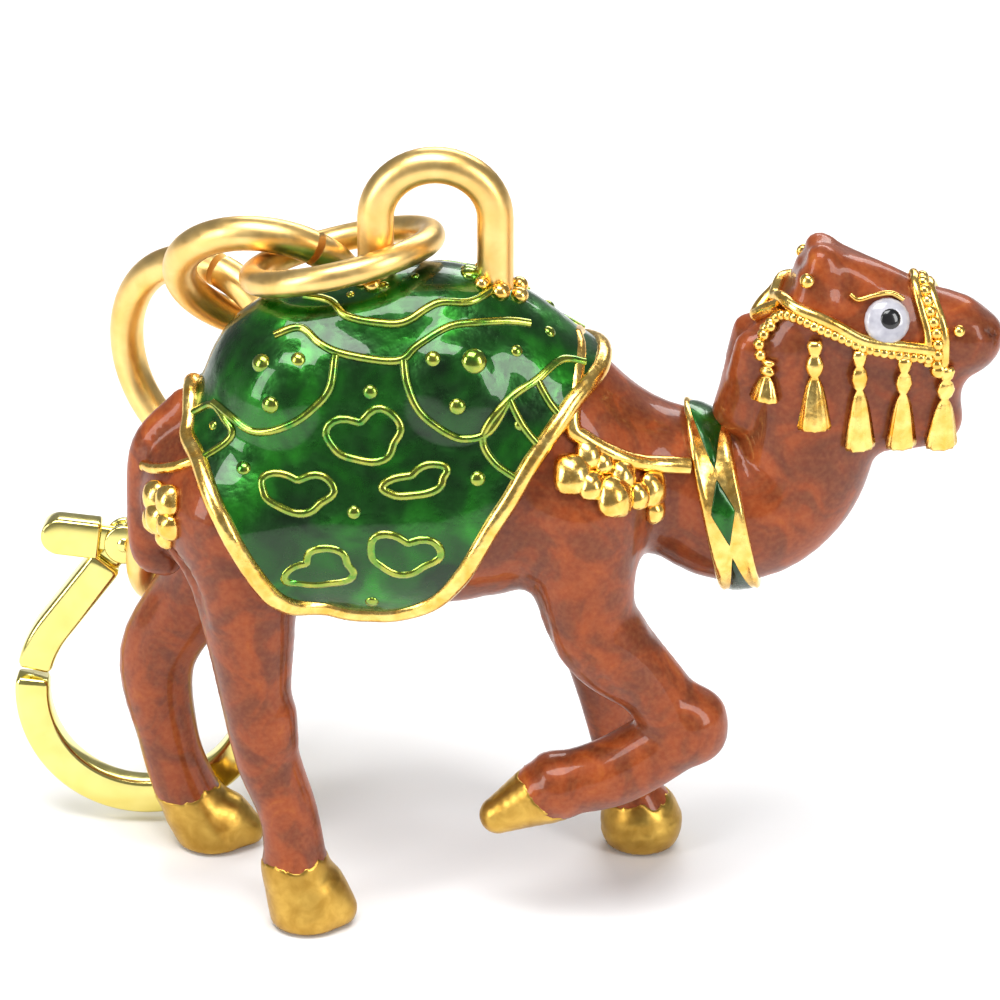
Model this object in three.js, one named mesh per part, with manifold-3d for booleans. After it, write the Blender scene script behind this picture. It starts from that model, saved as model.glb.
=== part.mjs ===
import * as THREE from 'three';
import { mergeVertices } from 'three/addons/utils/BufferGeometryUtils.js';
import Module from 'manifold-3d';

const wasm = await Module();
wasm.setup();

// An enamelled charm: a walking dromedary, cast in one piece with its saddle cloth, its harness and the
// arch it hangs by, then a chain of four jump rings and a round trigger clasp with its gate.
// Millimetres. The camel looks along +X, its near flank faces -Y, +Z is up and its soles are at Z = 0.

// Masses of the animal. Each row is a station: x, y, z, radius and, where a section isn't round, how
// wide it is across for its height.
const TRUNK = [[-15.0, 0, 25.2, 5.0, 1.06], [-6.0, 0, 25.3, 6.75, 1.03], [3.6, 0, 25.9, 5.9, 0.94]];
const HUMP = [[-9.9, 0, 30.6, 6.0, 0.86], [-6.4, 0, 31.2, 6.2, 0.82], [-3.0, 0, 31.3, 6.4, 0.8],
  [0.9, 0, 28.8, 6.1, 0.86]];
const NECK = [[4.0, 0, 26.2, 4.6, 0.95], [8.8, 0, 25.9, 4.1, 0.92], [12.9, 0, 24.0, 4.3, 0.9],
  [15.8, 0, 25.3, 3.9, 0.88], [16.9, 0, 28.6, 3.9, 0.82], [16.6, 0, 32.6, 3.3, 0.85]];
const HEAD = [[16.6, 0, 34.6, 2.5, 1.0], [19.5, 0, 35.2, 2.9, 0.92], [22.4, 0, 34.4, 2.55, 0.9],
  [25.0, 0, 34.0, 2.05, 0.95]];
const CHEEK = [[19.0, 0, 32.4, 2.7, 0.9], [23.6, 0, 31.9, 1.9, 0.95]];
const JAW = [[17.5, 0, 31.0, 2.7, 0.95], [21.0, 0, 29.7, 2.1, 0.95], [23.8, 0, 29.5, 1.7, 1.0]];
const EAR = [[17.3, 0.9, 36.4, 1.6], [17.35, 1.1, 38.8, 0.7]];
const TAIL = [[-17.2, 0, 29.9, 1.2], [-19.3, 0, 27.6, 1.1], [-19.75, 0, 24.0, 1.0], [-19.5, 0, 21.3, 1.1],
  [-18.7, 0, 20.7, 1.0]];
const HIND_NEAR = [[-14.6, -3.7, 25.3, 3.4], [-13.9, -4.1, 19.0, 2.6], [-13.6, -4.3, 14.4, 2.0],
  [-13.0, -4.3, 10.4, 1.8], [-11.9, -4.3, 6.8, 1.65], [-11.5, -4.3, 3.2, 1.8]];
const HIND_FAR = [[-15.4, 3.7, 24.5, 3.4], [-16.8, 4.5, 17.6, 2.5], [-19.6, 4.9, 12.2, 2.2],
  [-19.2, 4.9, 7.0, 1.75], [-18.3, 4.9, 3.6, 1.8], [-17.2, 4.9, 1.6, 1.7]];
const FORE_NEAR = [[4.4, -3.6, 25.6, 3.4], [4.8, -4.2, 20.0, 2.65], [6.0, -4.4, 17.5, 2.5],
  [8.4, -4.4, 15.0, 1.95], [10.3, -4.4, 12.2, 2.0]];
const SHIN_NEAR = [[10.3, -4.4, 12.2, 2.0], [6.6, -4.4, 9.7, 2.0], [3.4, -4.4, 8.7, 1.75]];
const FORE_FAR = [[4.2, 3.6, 24.0, 3.4], [4.6, 4.4, 17.4, 2.4], [6.1, 4.8, 10.0, 1.7],
  [7.3, 4.8, 4.8, 1.55], [8.0, 4.8, 2.0, 1.6]];
const HOOVES = [
  [[-11.6, -4.3, 3.4, 1.85], [-10.9, -4.3, 0.9, 2.2]],
  [[-17.6, 4.9, 2.0, 1.9], [-16.7, 4.9, 0.6, 2.1]],
  [[8.0, 4.8, 2.2, 1.9], [8.2, 4.8, 1.3, 2.35]],
  [[3.1, -4.4, 8.6, 2.0], [-0.1, -4.4, 6.8, 0.98]],
  [[3.3, -4.4, 7.9, 1.0], [-0.1, -4.4, 6.7, 0.9]],
];
const CELL = 1.45;
const SHORTEST_EDGE = 0.3;                // facets are no finer than this on the cast piece
const THINNEST_FACET = 0.03;
const LIMB_STEPS = 6;

// Saddle cloth: its hem as x and the angle above the horizontal round the barrel, near flank only
const BARREL_Z = 25;
const HEM = [[-16.9, 74], [-17.0, 58], [-16.4, 42], [-15.7, 24], [-14.9, 11], [-13.6, -8.5], [-12.1, -28],
  [-10.2, -41], [-7.4, -47], [-4.4, -43], [-2.7, -24], [-0.6, 7], [0.5, 21], [1.7, 37], [3.6, 57], [5.4, 78]];
const CLOTH_MIDDLE = [-6, 90];
const CLOTH_RINGS = 6;
const CLOTH_LIFT = 0.45;
const HEM_FLARE = 0.3;
const RIM_RADIUS = 0.38;

// Harness
const COLLAR = { x: 12.3, z: 25.1, lean: 0.2, width: 2.2, lift: 0.42, depth: 1.2, sides: 16 };
const STRAP_RADIUS = 0.34;
const CHEST_STRAP = [[3.6, 0, 33.6], [3.9, -4.5, 31.3], [4.7, -4.8, 30.3], [6.5, -4.6, 29.2],
  [7.9, -4.0, 28.5], [10.4, -3.3, 28.0]];
const CRUPPER = [[-16.4, -4.3, 29.1], [-18.0, -3.7, 27.9], [-19.5, -2.5, 26.6], [-20.3, -0.3, 26.0]];
const NOSEBAND = [[23.9, -2.3, 33.4], [23.7, -2.0, 35.6], [22.9, -0.7, 37.1]];
const CHEEK_STRAP = [[23.8, -2.4, 34.2], [21.2, -2.7, 34.9], [19.7, -2.9, 35.2], [18.1, -2.8, 36.2],
  [16.8, -2.5, 36.6], [15.4, -1.3, 37.0]];
const TASSELS = [[14.6, 34.6, 31.7], [17.1, 34.9, 30.2], [19.6, 34.2, 28.9], [21.9, 33.8, 28.3], [24.2, 33.4, 27.9]];
const BOSSES = [[3.8, -5.8, 28.9, 1.15, 0.75], [4.8, -5.6, 29.8, 0.8, 0.5], [6.1, -5.8, 27.4, 1.25, 0.8],
  [8.4, -4.4, 26.8, 1.0, 0.7], [8.5, -4.3, 25.5, 0.6, 0.5], [-18.6, -4.2, 25.6, 1.6, 0.6]];
const EYE = [21.0, -2.4, 36.2, 1.3, 0.45];

// Arch on the hump
const ARCH = { x: -3.5, half: 3.25, rise: 3.1, spring: 41.3, foot: 36.5, wire: 1.0 };

// Jump rings: centre, direction the ring faces, radius to the middle of the wire and wire radius
const LINKS = [
  { at: [-8.66, 2.36, 38.02], faces: [-0.228, 0.197, 0.954], radius: 5.05, wire: 0.76, slit: 200 },
  { at: [-13.13, 7.45, 34.4], faces: [-0.116, -0.812, -0.573], radius: 4.85, wire: 0.97, slit: 50 },
  { at: [-16.7, 11.25, 27.66], faces: [0.59, 0.808, 0.002], radius: 6.0, wire: 0.97, slit: 100 },
  { at: [-18.14, 11.01, 18.78], faces: [0.889, -0.416, -0.192], radius: 5.19, wire: 0.9, slit: 150 },
];
const LINK_SLIT = 0.35;

// Trigger clasp: a teardrop loop whose straight side is the gate
const CLASP = { x: -20.65, y: 7.75, z: 0.33, lean: 0.106, height: 7.62, outer: 7.57, band: 2.0, apex: 8.27,
  apexRadius: 2.5, thick: 1.7 };
const PIVOT = { u: -1.0, v: 9.2, cheek: 1.15, pin: 0.42, bore: 0.58, slot: 1.0, tongue: 0.66, knuckle: 1.05 };
const GATE = { root: 1.4, reach: 9.6, gap: 0.25, from: 118, to: 300 };
const TAB = { u: -4.7, v: 9.65, half: 1.1 };

const COLOURS = {
  enamel: { color: 0x9a5640, roughness: 0.22, metalness: 0.0 },
  gold: { color: 0xd9b24a, roughness: 0.3, metalness: 1.0 },
  brass: { color: 0xe3cd55, roughness: 0.22, metalness: 1.0 },
};

// Shapes of the animal as a distance field

function spline(stations) {
  const rows = stations.map((row) => (row.length < 5 ? [...row, 1] : row));
  const last = rows.length - 1;
  const before = rows[0].map((value, k) => 2 * value - rows[1][k]);
  const after = rows[last].map((value, k) => 2 * value - rows[last - 1][k]);
  const knots = [before, ...rows, after];
  const out = [];
  for (let i = 1; i < knots.length - 2; i += 1) {
    for (let j = 0; j < LIMB_STEPS; j += 1) {
      const t = j / LIMB_STEPS;
      out.push(knots[i].map((b, k) => {
        const [a, c, d] = [knots[i - 1][k], knots[i + 1][k], knots[i + 2][k]];
        return 0.5 * (2 * b + (c - a) * t + (2 * a - 5 * b + 4 * c - d) * t * t
          + (3 * b - a - 3 * c + d) * t * t * t);
      }));
    }
  }
  out.push(rows[last]);
  return out;
}

function limb(stations) {
  const rows = spline(stations);
  return rows.slice(1).map((end, i) => {
    const start = rows[i];
    const along = [end[0] - start[0], end[1] - start[1], end[2] - start[2]];
    const length2 = along[0] ** 2 + along[1] ** 2 + along[2] ** 2;
    return { start, along, length2, grow: end[3] - start[3], widen: end[4] - start[4] };
  });
}

function limbDistance(parts, x, y, z) {
  let nearest = Infinity;
  for (const { start, along, length2, grow, widen } of parts) {
    const [px, py, pz] = [x - start[0], y - start[1], z - start[2]];
    const dot = px * along[0] + py * along[1] + pz * along[2];
    const t = Math.min(1, Math.max(0, dot / length2));
    const width = start[4] + t * widen;
    const dx = px - t * along[0];
    const dy = (py - t * along[1]) / width;
    const dz = pz - t * along[2];
    const distance = (Math.sqrt(dx * dx + dy * dy + dz * dz) - start[3] - t * grow) * Math.min(width, 1);
    nearest = Math.min(nearest, distance);
  }
  return nearest;
}

function blend(a, b, soft) {
  const h = Math.min(1, Math.max(0, 0.5 + 0.5 * (b - a) / soft));
  return b + (a - b) * h - soft * h * (1 - h);
}

const farEar = EAR;
const nearEar = EAR.map(([x, y, z, r]) => [x, -y, z, r]);
const skull = [[HEAD, 0], [CHEEK, 0.8], [JAW, 1.0], [farEar, 0.9], [nearEar, 0.9]]
  .map(([rows, soft]) => [limb(rows), soft]);
const barrel = [[TRUNK, 0], [HUMP, 2.2], [NECK, 1.4]].map(([rows, soft]) => [limb(rows), soft]);
const legs = [[HIND_NEAR, 1.6], [HIND_FAR, 1.6], [FORE_FAR, 1.4]].map(([rows, soft]) => [limb(rows), soft]);
const bentLeg = [[FORE_NEAR, 0], [SHIN_NEAR, 0.35]].map(([rows, soft]) => [limb(rows), soft]);
const ends = [...HOOVES.map((rows) => [rows, 0.3]), [TAIL, 0.4]].map(([rows, soft]) => [limb(rows), soft]);

function joined(first, group, x, y, z) {
  return group.reduce((d, [parts, soft]) => {
    const next = limbDistance(parts, x, y, z);
    return d === null ? next : blend(d, next, soft);
  }, first);
}

function animal(x, y, z) {
  let d = joined(null, barrel, x, y, z);
  d = blend(d, joined(null, skull, x, y, z), 1.0);
  d = joined(d, legs, x, y, z);
  d = blend(d, joined(null, bentLeg, x, y, z), 1.4);
  return joined(d, ends, x, y, z);
}

function skinNormal(p) {
  const e = 0.05;
  return new THREE.Vector3(
    animal(p.x + e, p.y, p.z) - animal(p.x - e, p.y, p.z),
    animal(p.x, p.y + e, p.z) - animal(p.x, p.y - e, p.z),
    animal(p.x, p.y, p.z + e) - animal(p.x, p.y, p.z - e),
  ).normalize();
}

function onSkin(x, y, z, lift = 0) {
  const p = new THREE.Vector3(x, y, z);
  for (let i = 0; i < 10; i += 1) {
    p.addScaledVector(skinNormal(p), 0.8 * (lift - animal(p.x, p.y, p.z)));
  }
  return p;
}

// The skin is met by walking inwards along a ray, from well outside it
function inwards(from, towards, lift) {
  const direction = towards.clone().sub(from).normalize();
  const p = from.clone();
  for (let i = 0; i < 60; i += 1) {
    const gap = animal(p.x, p.y, p.z) - lift;
    if (gap < 0.002) {
      break;
    }
    p.addScaledVector(direction, 0.8 * gap);
  }
  return p;
}

function onBarrel(x, degrees, lift) {
  const a = THREE.MathUtils.degToRad(degrees);
  const axis = new THREE.Vector3(x, 0, BARREL_Z);
  const out = new THREE.Vector3(0, -Math.cos(a), Math.sin(a)).multiplyScalar(22);
  return inwards(axis.clone().add(out), axis, lift);
}

// Meshes from lists, solids from meshes

function geometryOf(points, triangles) {
  const geometry = new THREE.BufferGeometry();
  geometry.setAttribute('position', new THREE.Float32BufferAttribute(points.flat(), 3));
  geometry.setIndex(triangles.flat());
  return geometry;
}

function solid(geometry) {
  const plain = geometry.clone();
  plain.deleteAttribute('normal');
  plain.deleteAttribute('uv');
  const merged = mergeVertices(plain, 1e-4);
  return new wasm.Manifold(new wasm.Mesh({
    numProp: 3,
    vertProperties: new Float32Array(merged.attributes.position.array),
    triVerts: new Uint32Array(merged.index.array),
  }));
}

function unsolid(body) {
  const mesh = body.getMesh();
  const geometry = new THREE.BufferGeometry();
  geometry.setAttribute('position', new THREE.Float32BufferAttribute(mesh.vertProperties, 3));
  geometry.setIndex([...mesh.triVerts]);
  return geometry;
}

// Where pieces run into each other the join leaves very short edges and needle-thin facets. A short edge
// is closed up by moving one of its ends onto the other, as long as no facet turns over; a needle gives
// its long edge to the facet beyond it.
function tidyFacets(body, shortest, thinnest) {
  const geometry = unsolid(body);
  const flat = geometry.attributes.position.array;
  const points = Array.from({ length: flat.length / 3 }, (_, i) => new THREE.Vector3().fromArray(flat, 3 * i));
  const faces = Array.from({ length: geometry.index.count / 3 }, (_, i) => (
    [0, 1, 2].map((k) => geometry.index.array[3 * i + k])));
  const around = points.map(() => new Set());
  faces.forEach((face, f) => face.forEach((v) => around[v].add(f)));
  const ring = (v) => new Set([...around[v]].flatMap((f) => faces[f]).filter((w) => w !== v));
  const apart = (v, w) => points[v].distanceTo(points[w]);
  const area2 = (a, b, c) => points[b].clone().sub(points[a]).cross(points[c].clone().sub(points[a]));

  const close = (from, to) => {
    const beside = ring(to);
    if ([...ring(from)].filter((v) => beside.has(v)).length !== 2) {
      return false;
    }
    const turns = apart(from, to) > 0.5 * thinnest && [...around[from]].some((f) => {
      const before = area2(...faces[f]);
      const after = area2(...faces[f].map((v) => (v === from ? to : v)));
      const matters = !faces[f].includes(to) && before.length() > 0.004;
      return matters && after.dot(before) < 0.6 * after.length() * before.length() + 1e-4;
    });
    if (turns) {
      return false;
    }
    for (const f of [...around[from]]) {
      if (faces[f].includes(to)) {
        faces[f].forEach((v) => around[v].delete(f));
        faces[f] = null;
      } else {
        faces[f] = faces[f].map((v) => (v === from ? to : v));
        around[to].add(f);
      }
    }
    around[from].clear();
    return true;
  };

  const swap = (f) => {
    const lengths = faces[f].map((v, k) => apart(v, faces[f][(k + 1) % 3]));
    const k = lengths.indexOf(Math.max(...lengths));
    const [a, b, c] = [0, 1, 2].map((n) => faces[f][(k + n) % 3]);
    if (area2(a, b, c).length() > thinnest * lengths[k]) {
      return;
    }
    const g = [...around[a]].find((n) => n !== f && around[b].has(n));
    const d = faces[g].find((v) => v !== a && v !== b);
    if (d === c || ring(c).has(d)) {
      return;
    }
    faces[f] = [a, d, c];
    faces[g] = [d, b, c];
    around[b].delete(f);
    around[a].delete(g);
    around[d].add(f);
    around[c].add(g);
  };

  for (let pass = 0; pass < 5; pass += 1) {
    for (let f = 0; f < faces.length; f += 1) {
      for (let k = 0; k < 3 && faces[f]; k += 1) {
        const [a, b] = [faces[f][k], faces[f][(k + 1) % 3]];
        if (apart(a, b) < shortest && !close(a, b)) {
          close(b, a);
        }
      }
      if (faces[f]) {
        swap(f);
      }
    }
  }
  // Two sheets that only touch are drawn a little apart
  const live = points.map((_, v) => v).filter((v) => around[v].size > 0);
  const touching = live.filter((v) => live.some((w) => w !== v && apart(v, w) < thinnest && !ring(v).has(w)));
  const moves = touching.map((v) => [...around[v]].reduce(
    (sum, f) => sum.sub(area2(...faces[f])), new THREE.Vector3(),
  ).setLength(2 * thinnest));
  touching.forEach((v, i) => points[v].add(moves[i]));
  const left = faces.filter((face) => face);
  const used = new Map([...new Set(left.flat())].map((v, i) => [v, i]));
  return solid(geometryOf(
    [...used.keys()].map((v) => points[v].toArray()),
    left.map((face) => face.map((v) => used.get(v))),
  ));
}

// One point in each cell that the skin passes through, one quad round each grid edge that it crosses
function skinMesh(low, high, cell) {
  const count = low.map((value, k) => Math.ceil((high[k] - value) / cell) + 1);
  const at = (i, j, k) => (i * count[1] + j) * count[2] + k;
  const field = new Float32Array(count[0] * count[1] * count[2]);
  for (let i = 0; i < count[0]; i += 1) {
    for (let j = 0; j < count[1]; j += 1) {
      for (let k = 0; k < count[2]; k += 1) {
        field[at(i, j, k)] = animal(low[0] + cell * i, low[1] + cell * j, low[2] + cell * k);
      }
    }
  }
  const points = [];
  const cellPoint = new Map();
  const corners = [0, 1, 2, 3, 4, 5, 6, 7].map((n) => [n & 1, (n >> 1) & 1, (n >> 2) & 1]);
  for (let i = 0; i < count[0] - 1; i += 1) {
    for (let j = 0; j < count[1] - 1; j += 1) {
      for (let k = 0; k < count[2] - 1; k += 1) {
        const inside = corners.filter(([a, b, c]) => field[at(i + a, j + b, k + c)] < 0).length;
        if (inside > 0 && inside < 8) {
          const middle = onSkin(...[i, j, k].map((n, axis) => low[axis] + cell * (n + 0.5)));
          const limit = 0.46 * cell;
          const kept = middle.toArray().map((value, axis) => {
            const centre = low[axis] + cell * ([i, j, k][axis] + 0.5);
            return Math.min(centre + limit, Math.max(centre - limit, value));
          });
          cellPoint.set(at(i, j, k), points.length);
          points.push(kept);
        }
      }
    }
  }
  const triangles = [];
  for (let i = 1; i < count[0] - 1; i += 1) {
    for (let j = 1; j < count[1] - 1; j += 1) {
      for (let k = 1; k < count[2] - 1; k += 1) {
        const here = field[at(i, j, k)] < 0;
        for (let axis = 0; axis < 3; axis += 1) {
          const step = [0, 1, 2].map((n) => (n === axis ? 1 : 0));
          const there = field[at(i + step[0], j + step[1], k + step[2])] < 0;
          if (here !== there) {
            const b = [0, 1, 2].map((n) => (n === (axis + 1) % 3 ? 1 : 0));
            const c = [0, 1, 2].map((n) => (n === (axis + 2) % 3 ? 1 : 0));
            const quad = [[1, 1], [0, 1], [0, 0], [1, 0]].map(([p, q]) => cellPoint.get(
              at(i - p * b[0] - q * c[0], j - p * b[1] - q * c[1], k - p * b[2] - q * c[2]),
            ));
            const [p0, p1, p2, p3] = here ? quad : quad.reverse();
            const far = (m, n) => points[m].reduce((sum, value, s) => sum + (value - points[n][s]) ** 2, 0);
            if (far(p0, p2) < far(p1, p3)) {
              triangles.push([p0, p1, p2], [p0, p2, p3]);
            } else {
              triangles.push([p0, p1, p3], [p1, p2, p3]);
            }
          }
        }
      }
    }
  }
  return geometryOf(points, triangles);
}

// Round bars along a curve
function bar(curve, radius, steps, sides) {
  const section = new THREE.Shape();
  for (let i = 0; i < sides; i += 1) {
    const a = 2 * Math.PI * i / sides;
    const [x, y] = [radius * Math.cos(a), radius * Math.sin(a)];
    if (i === 0) {
      section.moveTo(x, y);
    } else {
      section.lineTo(x, y);
    }
  }
  return new THREE.ExtrudeGeometry(section, { steps, extrudePath: curve, bevelEnabled: false, curveSegments: 1 });
}

const mirrored = (rows) => rows.map(([x, y, ...rest]) => [x, -y, ...rest]);
const overTheTop = (rows) => [...rows, ...mirrored(rows).reverse()];

function strap(rows, radius, steps, lift) {
  const curve = new THREE.CatmullRomCurve3(rows.map(([x, y, z]) => onSkin(x, y, z, lift)), false, 'centripetal');
  return solid(bar(curve, radius, steps, 4));
}

function place(geometry, at, direction) {
  const turn = new THREE.Quaternion().setFromUnitVectors(new THREE.Vector3(0, 0, 1), direction);
  return geometry.applyQuaternion(turn).translate(at.x, at.y, at.z);
}

function boss([x, y, z, radius, height], sides = 7) {
  const at = onSkin(x, y, z);
  const dome = new THREE.SphereGeometry(1, sides, 4).rotateX(Math.PI / 2).scale(radius, radius, height);
  return solid(place(dome, at, skinNormal(at)));
}

function tassel(side, [x, top, bottom]) {
  const head = onSkin(x, side * 3, top, 0.2);
  const hem = onSkin(x, side * 3, bottom, 0.35);
  const length = head.distanceTo(hem);
  const profile = [[0, 0], [0.4, 0.04], [0.62, 0.4], [0.4, 0.52], [0.98, 0.96], [0, 1]]
    .map(([r, h]) => new THREE.Vector2(r, h * length));
  const turned = new THREE.LatheGeometry(profile, 6).rotateX(Math.PI / 2);
  return solid(place(turned, head, hem.clone().sub(head).normalize()));
}

function cloth() {
  const spokes = [...HEM, ...HEM.map(([x, degrees]) => [x, 180 - degrees]).reverse()];
  const points = [onBarrel(...CLOTH_MIDDLE, CLOTH_LIFT).toArray()];
  const triangles = [];
  const n = spokes.length;
  for (let ring = 1; ring <= CLOTH_RINGS; ring += 1) {
    const f = ring / CLOTH_RINGS;
    for (const [x, degrees] of spokes) {
      const chart = CLOTH_MIDDLE.map((middle, k) => middle + f * ([x, degrees][k] - middle));
      const low = Math.max(0, 1 - Math.sin(THREE.MathUtils.degToRad(chart[1])));
      points.push(onBarrel(...chart, CLOTH_LIFT + HEM_FLARE * low * f).toArray());
    }
  }
  const at = (ring, i) => 1 + (ring - 1) * n + (i % n);
  for (let i = 0; i < n; i += 1) {
    triangles.push([0, at(1, i), at(1, i + 1)]);
    for (let ring = 1; ring < CLOTH_RINGS; ring += 1) {
      triangles.push([at(ring, i), at(ring + 1, i), at(ring + 1, i + 1)]);
      triangles.push([at(ring, i), at(ring + 1, i + 1), at(ring, i + 1)]);
    }
  }
  const core = points.length;
  points.push([CLOTH_MIDDLE[0], 0, BARREL_Z]);
  for (let i = 0; i < n; i += 1) {
    triangles.push([core, at(CLOTH_RINGS, i + 1), at(CLOTH_RINGS, i)]);
  }
  return solid(geometryOf(points, triangles));
}

function clothRim() {
  const hem = [...HEM, ...HEM.map(([x, degrees]) => [x, 180 - degrees]).reverse()]
    .map(([x, degrees]) => onBarrel(x, degrees, 0.35));
  const curve = new THREE.CatmullRomCurve3(hem, true, 'centripetal');
  return solid(bar(curve, RIM_RADIUS, 44, 4));
}

function collar() {
  const { x, z, lean, width, lift, depth, sides } = COLLAR;
  const up = new THREE.Vector3(-Math.sin(lean), 0, Math.cos(lean));
  const across = new THREE.Vector3(Math.cos(lean), 0, Math.sin(lean));
  const rows = [];
  for (let i = 0; i < sides; i += 1) {
    const a = 2 * Math.PI * i / sides;
    const out = up.clone().multiplyScalar(Math.cos(a)).add(new THREE.Vector3(0, -Math.sin(a), 0));
    for (const edge of [-0.5, 0.5]) {
      const axis = new THREE.Vector3(x, 0, z).addScaledVector(across, edge * width);
      const skin = inwards(axis.clone().addScaledVector(out, 16), axis, lift);
      rows.push([skin.toArray(), skin.addScaledVector(out, -depth - lift).toArray()]);
    }
  }
  const points = rows.flat();
  const at = (i, n) => 4 * (i % sides) + n;
  const triangles = [];
  for (let i = 0; i < sides; i += 1) {
    for (const [m, n] of [[0, 2], [2, 3], [3, 1], [1, 0]]) {
      triangles.push([at(i, m), at(i + 1, m), at(i + 1, n)], [at(i, m), at(i + 1, n), at(i, n)]);
    }
  }
  return solid(geometryOf(points, triangles));
}

function arch() {
  const { x, half, rise, spring, foot, wire } = ARCH;
  const line = [[x - half, foot], [x - half, 0.5 * (foot + spring)]];
  for (let i = 0; i <= 8; i += 1) {
    const a = Math.PI * (1 - i / 8);
    line.push([x + half * Math.cos(a), spring + rise * Math.sin(a)]);
  }
  line.push([x + half, 0.5 * (foot + spring)], [x + half, foot]);
  const curve = new THREE.CatmullRomCurve3(line.map(([px, pz]) => new THREE.Vector3(px, 0, pz)), false, 'centripetal');
  return solid(bar(curve, wire, 14, 8));
}

// Everything that was cast together
let camel = solid(skinMesh([-24, -9.8, -4.2], [29, 9.6, 42], CELL));
const ground = new THREE.BoxGeometry(80, 40, 10).translate(0, 0, -5);
camel = camel.subtract(solid(ground));
camel = camel.add(cloth()).add(clothRim()).add(collar()).add(arch());
const bands = [
  [overTheTop(NOSEBAND), STRAP_RADIUS, 10], [overTheTop(CHEEK_STRAP), STRAP_RADIUS, 14],
  [overTheTop(CRUPPER), STRAP_RADIUS, 8],
];
for (const [rows, radius, steps] of bands) {
  camel = camel.add(strap(rows, radius, steps, 0.12));
}
for (const side of [-1, 1]) {
  const turn = (rows) => (side < 0 ? rows : mirrored(rows));
  camel = camel.add(strap(turn(CHEST_STRAP), STRAP_RADIUS, 9, 0.2));
  for (const row of turn(BOSSES)) {
    camel = camel.add(boss(row));
  }
  camel = camel.add(boss(turn([EYE])[0], 10));
  for (const row of TASSELS) {
    camel = camel.add(tassel(side, row));
  }
}

camel = tidyFacets(camel, SHORTEST_EDGE, THINNEST_FACET);

// Jump rings, each cut through once where it was closed
class RingCurve extends THREE.Curve {
  constructor(centre, facing, radius, from, sweep) {
    super();
    const helper = Math.abs(facing.z) < 0.9 ? new THREE.Vector3(0, 0, 1) : new THREE.Vector3(1, 0, 0);
    this.u = helper.cross(facing).normalize();
    this.v = facing.clone().cross(this.u);
    Object.assign(this, { centre, radius, from, sweep });
  }

  getPoint(t, target = new THREE.Vector3()) {
    const a = this.from + t * this.sweep;
    return target.copy(this.centre).addScaledVector(this.u, this.radius * Math.cos(a))
      .addScaledVector(this.v, this.radius * Math.sin(a));
  }
}

function link({ at, faces, radius, wire, slit }) {
  const gap = LINK_SLIT / radius;
  const from = THREE.MathUtils.degToRad(slit) + 0.5 * gap;
  const facing = new THREE.Vector3(...faces).normalize();
  const curve = new RingCurve(new THREE.Vector3(...at), facing, radius, from, 2 * Math.PI - gap);
  return solid(bar(curve, wire, 22, 8));
}

// Trigger clasp, drawn flat as u across and v up, then stood up in its place

function arc(u, v, radius, fromDeg, toDeg, steps) {
  return Array.from({ length: steps + 1 }, (_, i) => {
    const a = THREE.MathUtils.degToRad(fromDeg + (toDeg - fromDeg) * i / steps);
    return new THREE.Vector2(u + radius * Math.cos(a), v + radius * Math.sin(a));
  });
}

function teardrop(big, small, steps) {
  const tilt = THREE.MathUtils.radToDeg(Math.acos((big - small) / CLASP.apex));
  return [...arc(0, 0, big, 90 + tilt, 450 - tilt, steps), ...arc(0, CLASP.apex, small, 90 - tilt, 90 + tilt, 8)];
}

function plate(outline, thick, hole = null) {
  const shape = new THREE.Shape(outline);
  if (hole) {
    shape.holes.push(new THREE.Path(hole));
  }
  return solid(new THREE.ExtrudeGeometry(shape, { depth: thick, bevelEnabled: false }).translate(0, 0, -0.5 * thick));
}

const disc = (radius, thick, steps = 20) => plate(
  arc(PIVOT.u, PIVOT.v, radius, 0, 360 - 360 / steps, steps - 1), thick,
);

function sector(inner, outer, fromDeg, toDeg, thick) {
  const rim = arc(PIVOT.u, PIVOT.v, outer, fromDeg, toDeg, 24);
  return plate([...rim, ...arc(PIVOT.u, PIVOT.v, inner, toDeg, fromDeg, 16)], thick);
}

const claspPlane = new THREE.Matrix4().makeBasis(
  new THREE.Vector3(1, 0, 0),
  new THREE.Vector3(0, Math.sin(CLASP.lean), Math.cos(CLASP.lean)),
  new THREE.Vector3(0, -Math.cos(CLASP.lean), Math.sin(CLASP.lean)),
).setPosition(
  CLASP.x,
  CLASP.y + CLASP.height * Math.sin(CLASP.lean),
  CLASP.z + CLASP.height * Math.cos(CLASP.lean),
);

function claspPieces() {
  const { outer, band, apexRadius, thick } = CLASP;
  const loop = plate(teardrop(outer, apexRadius, 28), thick, teardrop(outer - band, apexRadius - band, 24).reverse());
  const reach = new THREE.Vector2(TAB.u - PIVOT.u, TAB.v - PIVOT.v);
  const turn = THREE.MathUtils.radToDeg(reach.angle());
  const tab = plate([...arc(PIVOT.u, PIVOT.v, TAB.half, turn + 90, turn + 270, 8),
    ...arc(TAB.u, TAB.v, TAB.half, turn - 90, turn + 90, 8)], thick);
  const wide = 2 * thick;
  let hook = loop.subtract(sector(0.2, GATE.reach + GATE.gap, GATE.from - 12, GATE.to, wide));
  hook = hook.add(disc(PIVOT.cheek, thick)).subtract(disc(GATE.root - 0.1, PIVOT.slot));
  hook = hook.add(disc(PIVOT.pin, thick, 12));
  const swept = loop.intersect(sector(0.2, GATE.reach, GATE.from, GATE.to, wide)).add(tab);
  let gate = swept.subtract(disc(GATE.root, wide));
  const tongue = swept.intersect(disc(GATE.root + 0.3, PIVOT.tongue)).add(disc(PIVOT.knuckle, PIVOT.tongue));
  gate = gate.add(tongue).subtract(disc(PIVOT.bore, wide, 12));
  return { hook, gate };
}

// Assembly

function piece(name, body, { color, roughness, metalness }) {
  const material = new THREE.MeshStandardMaterial({ color, roughness, metalness });
  const mesh = new THREE.Mesh(unsolid(body), material);
  mesh.name = name;
  return mesh;
}

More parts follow.
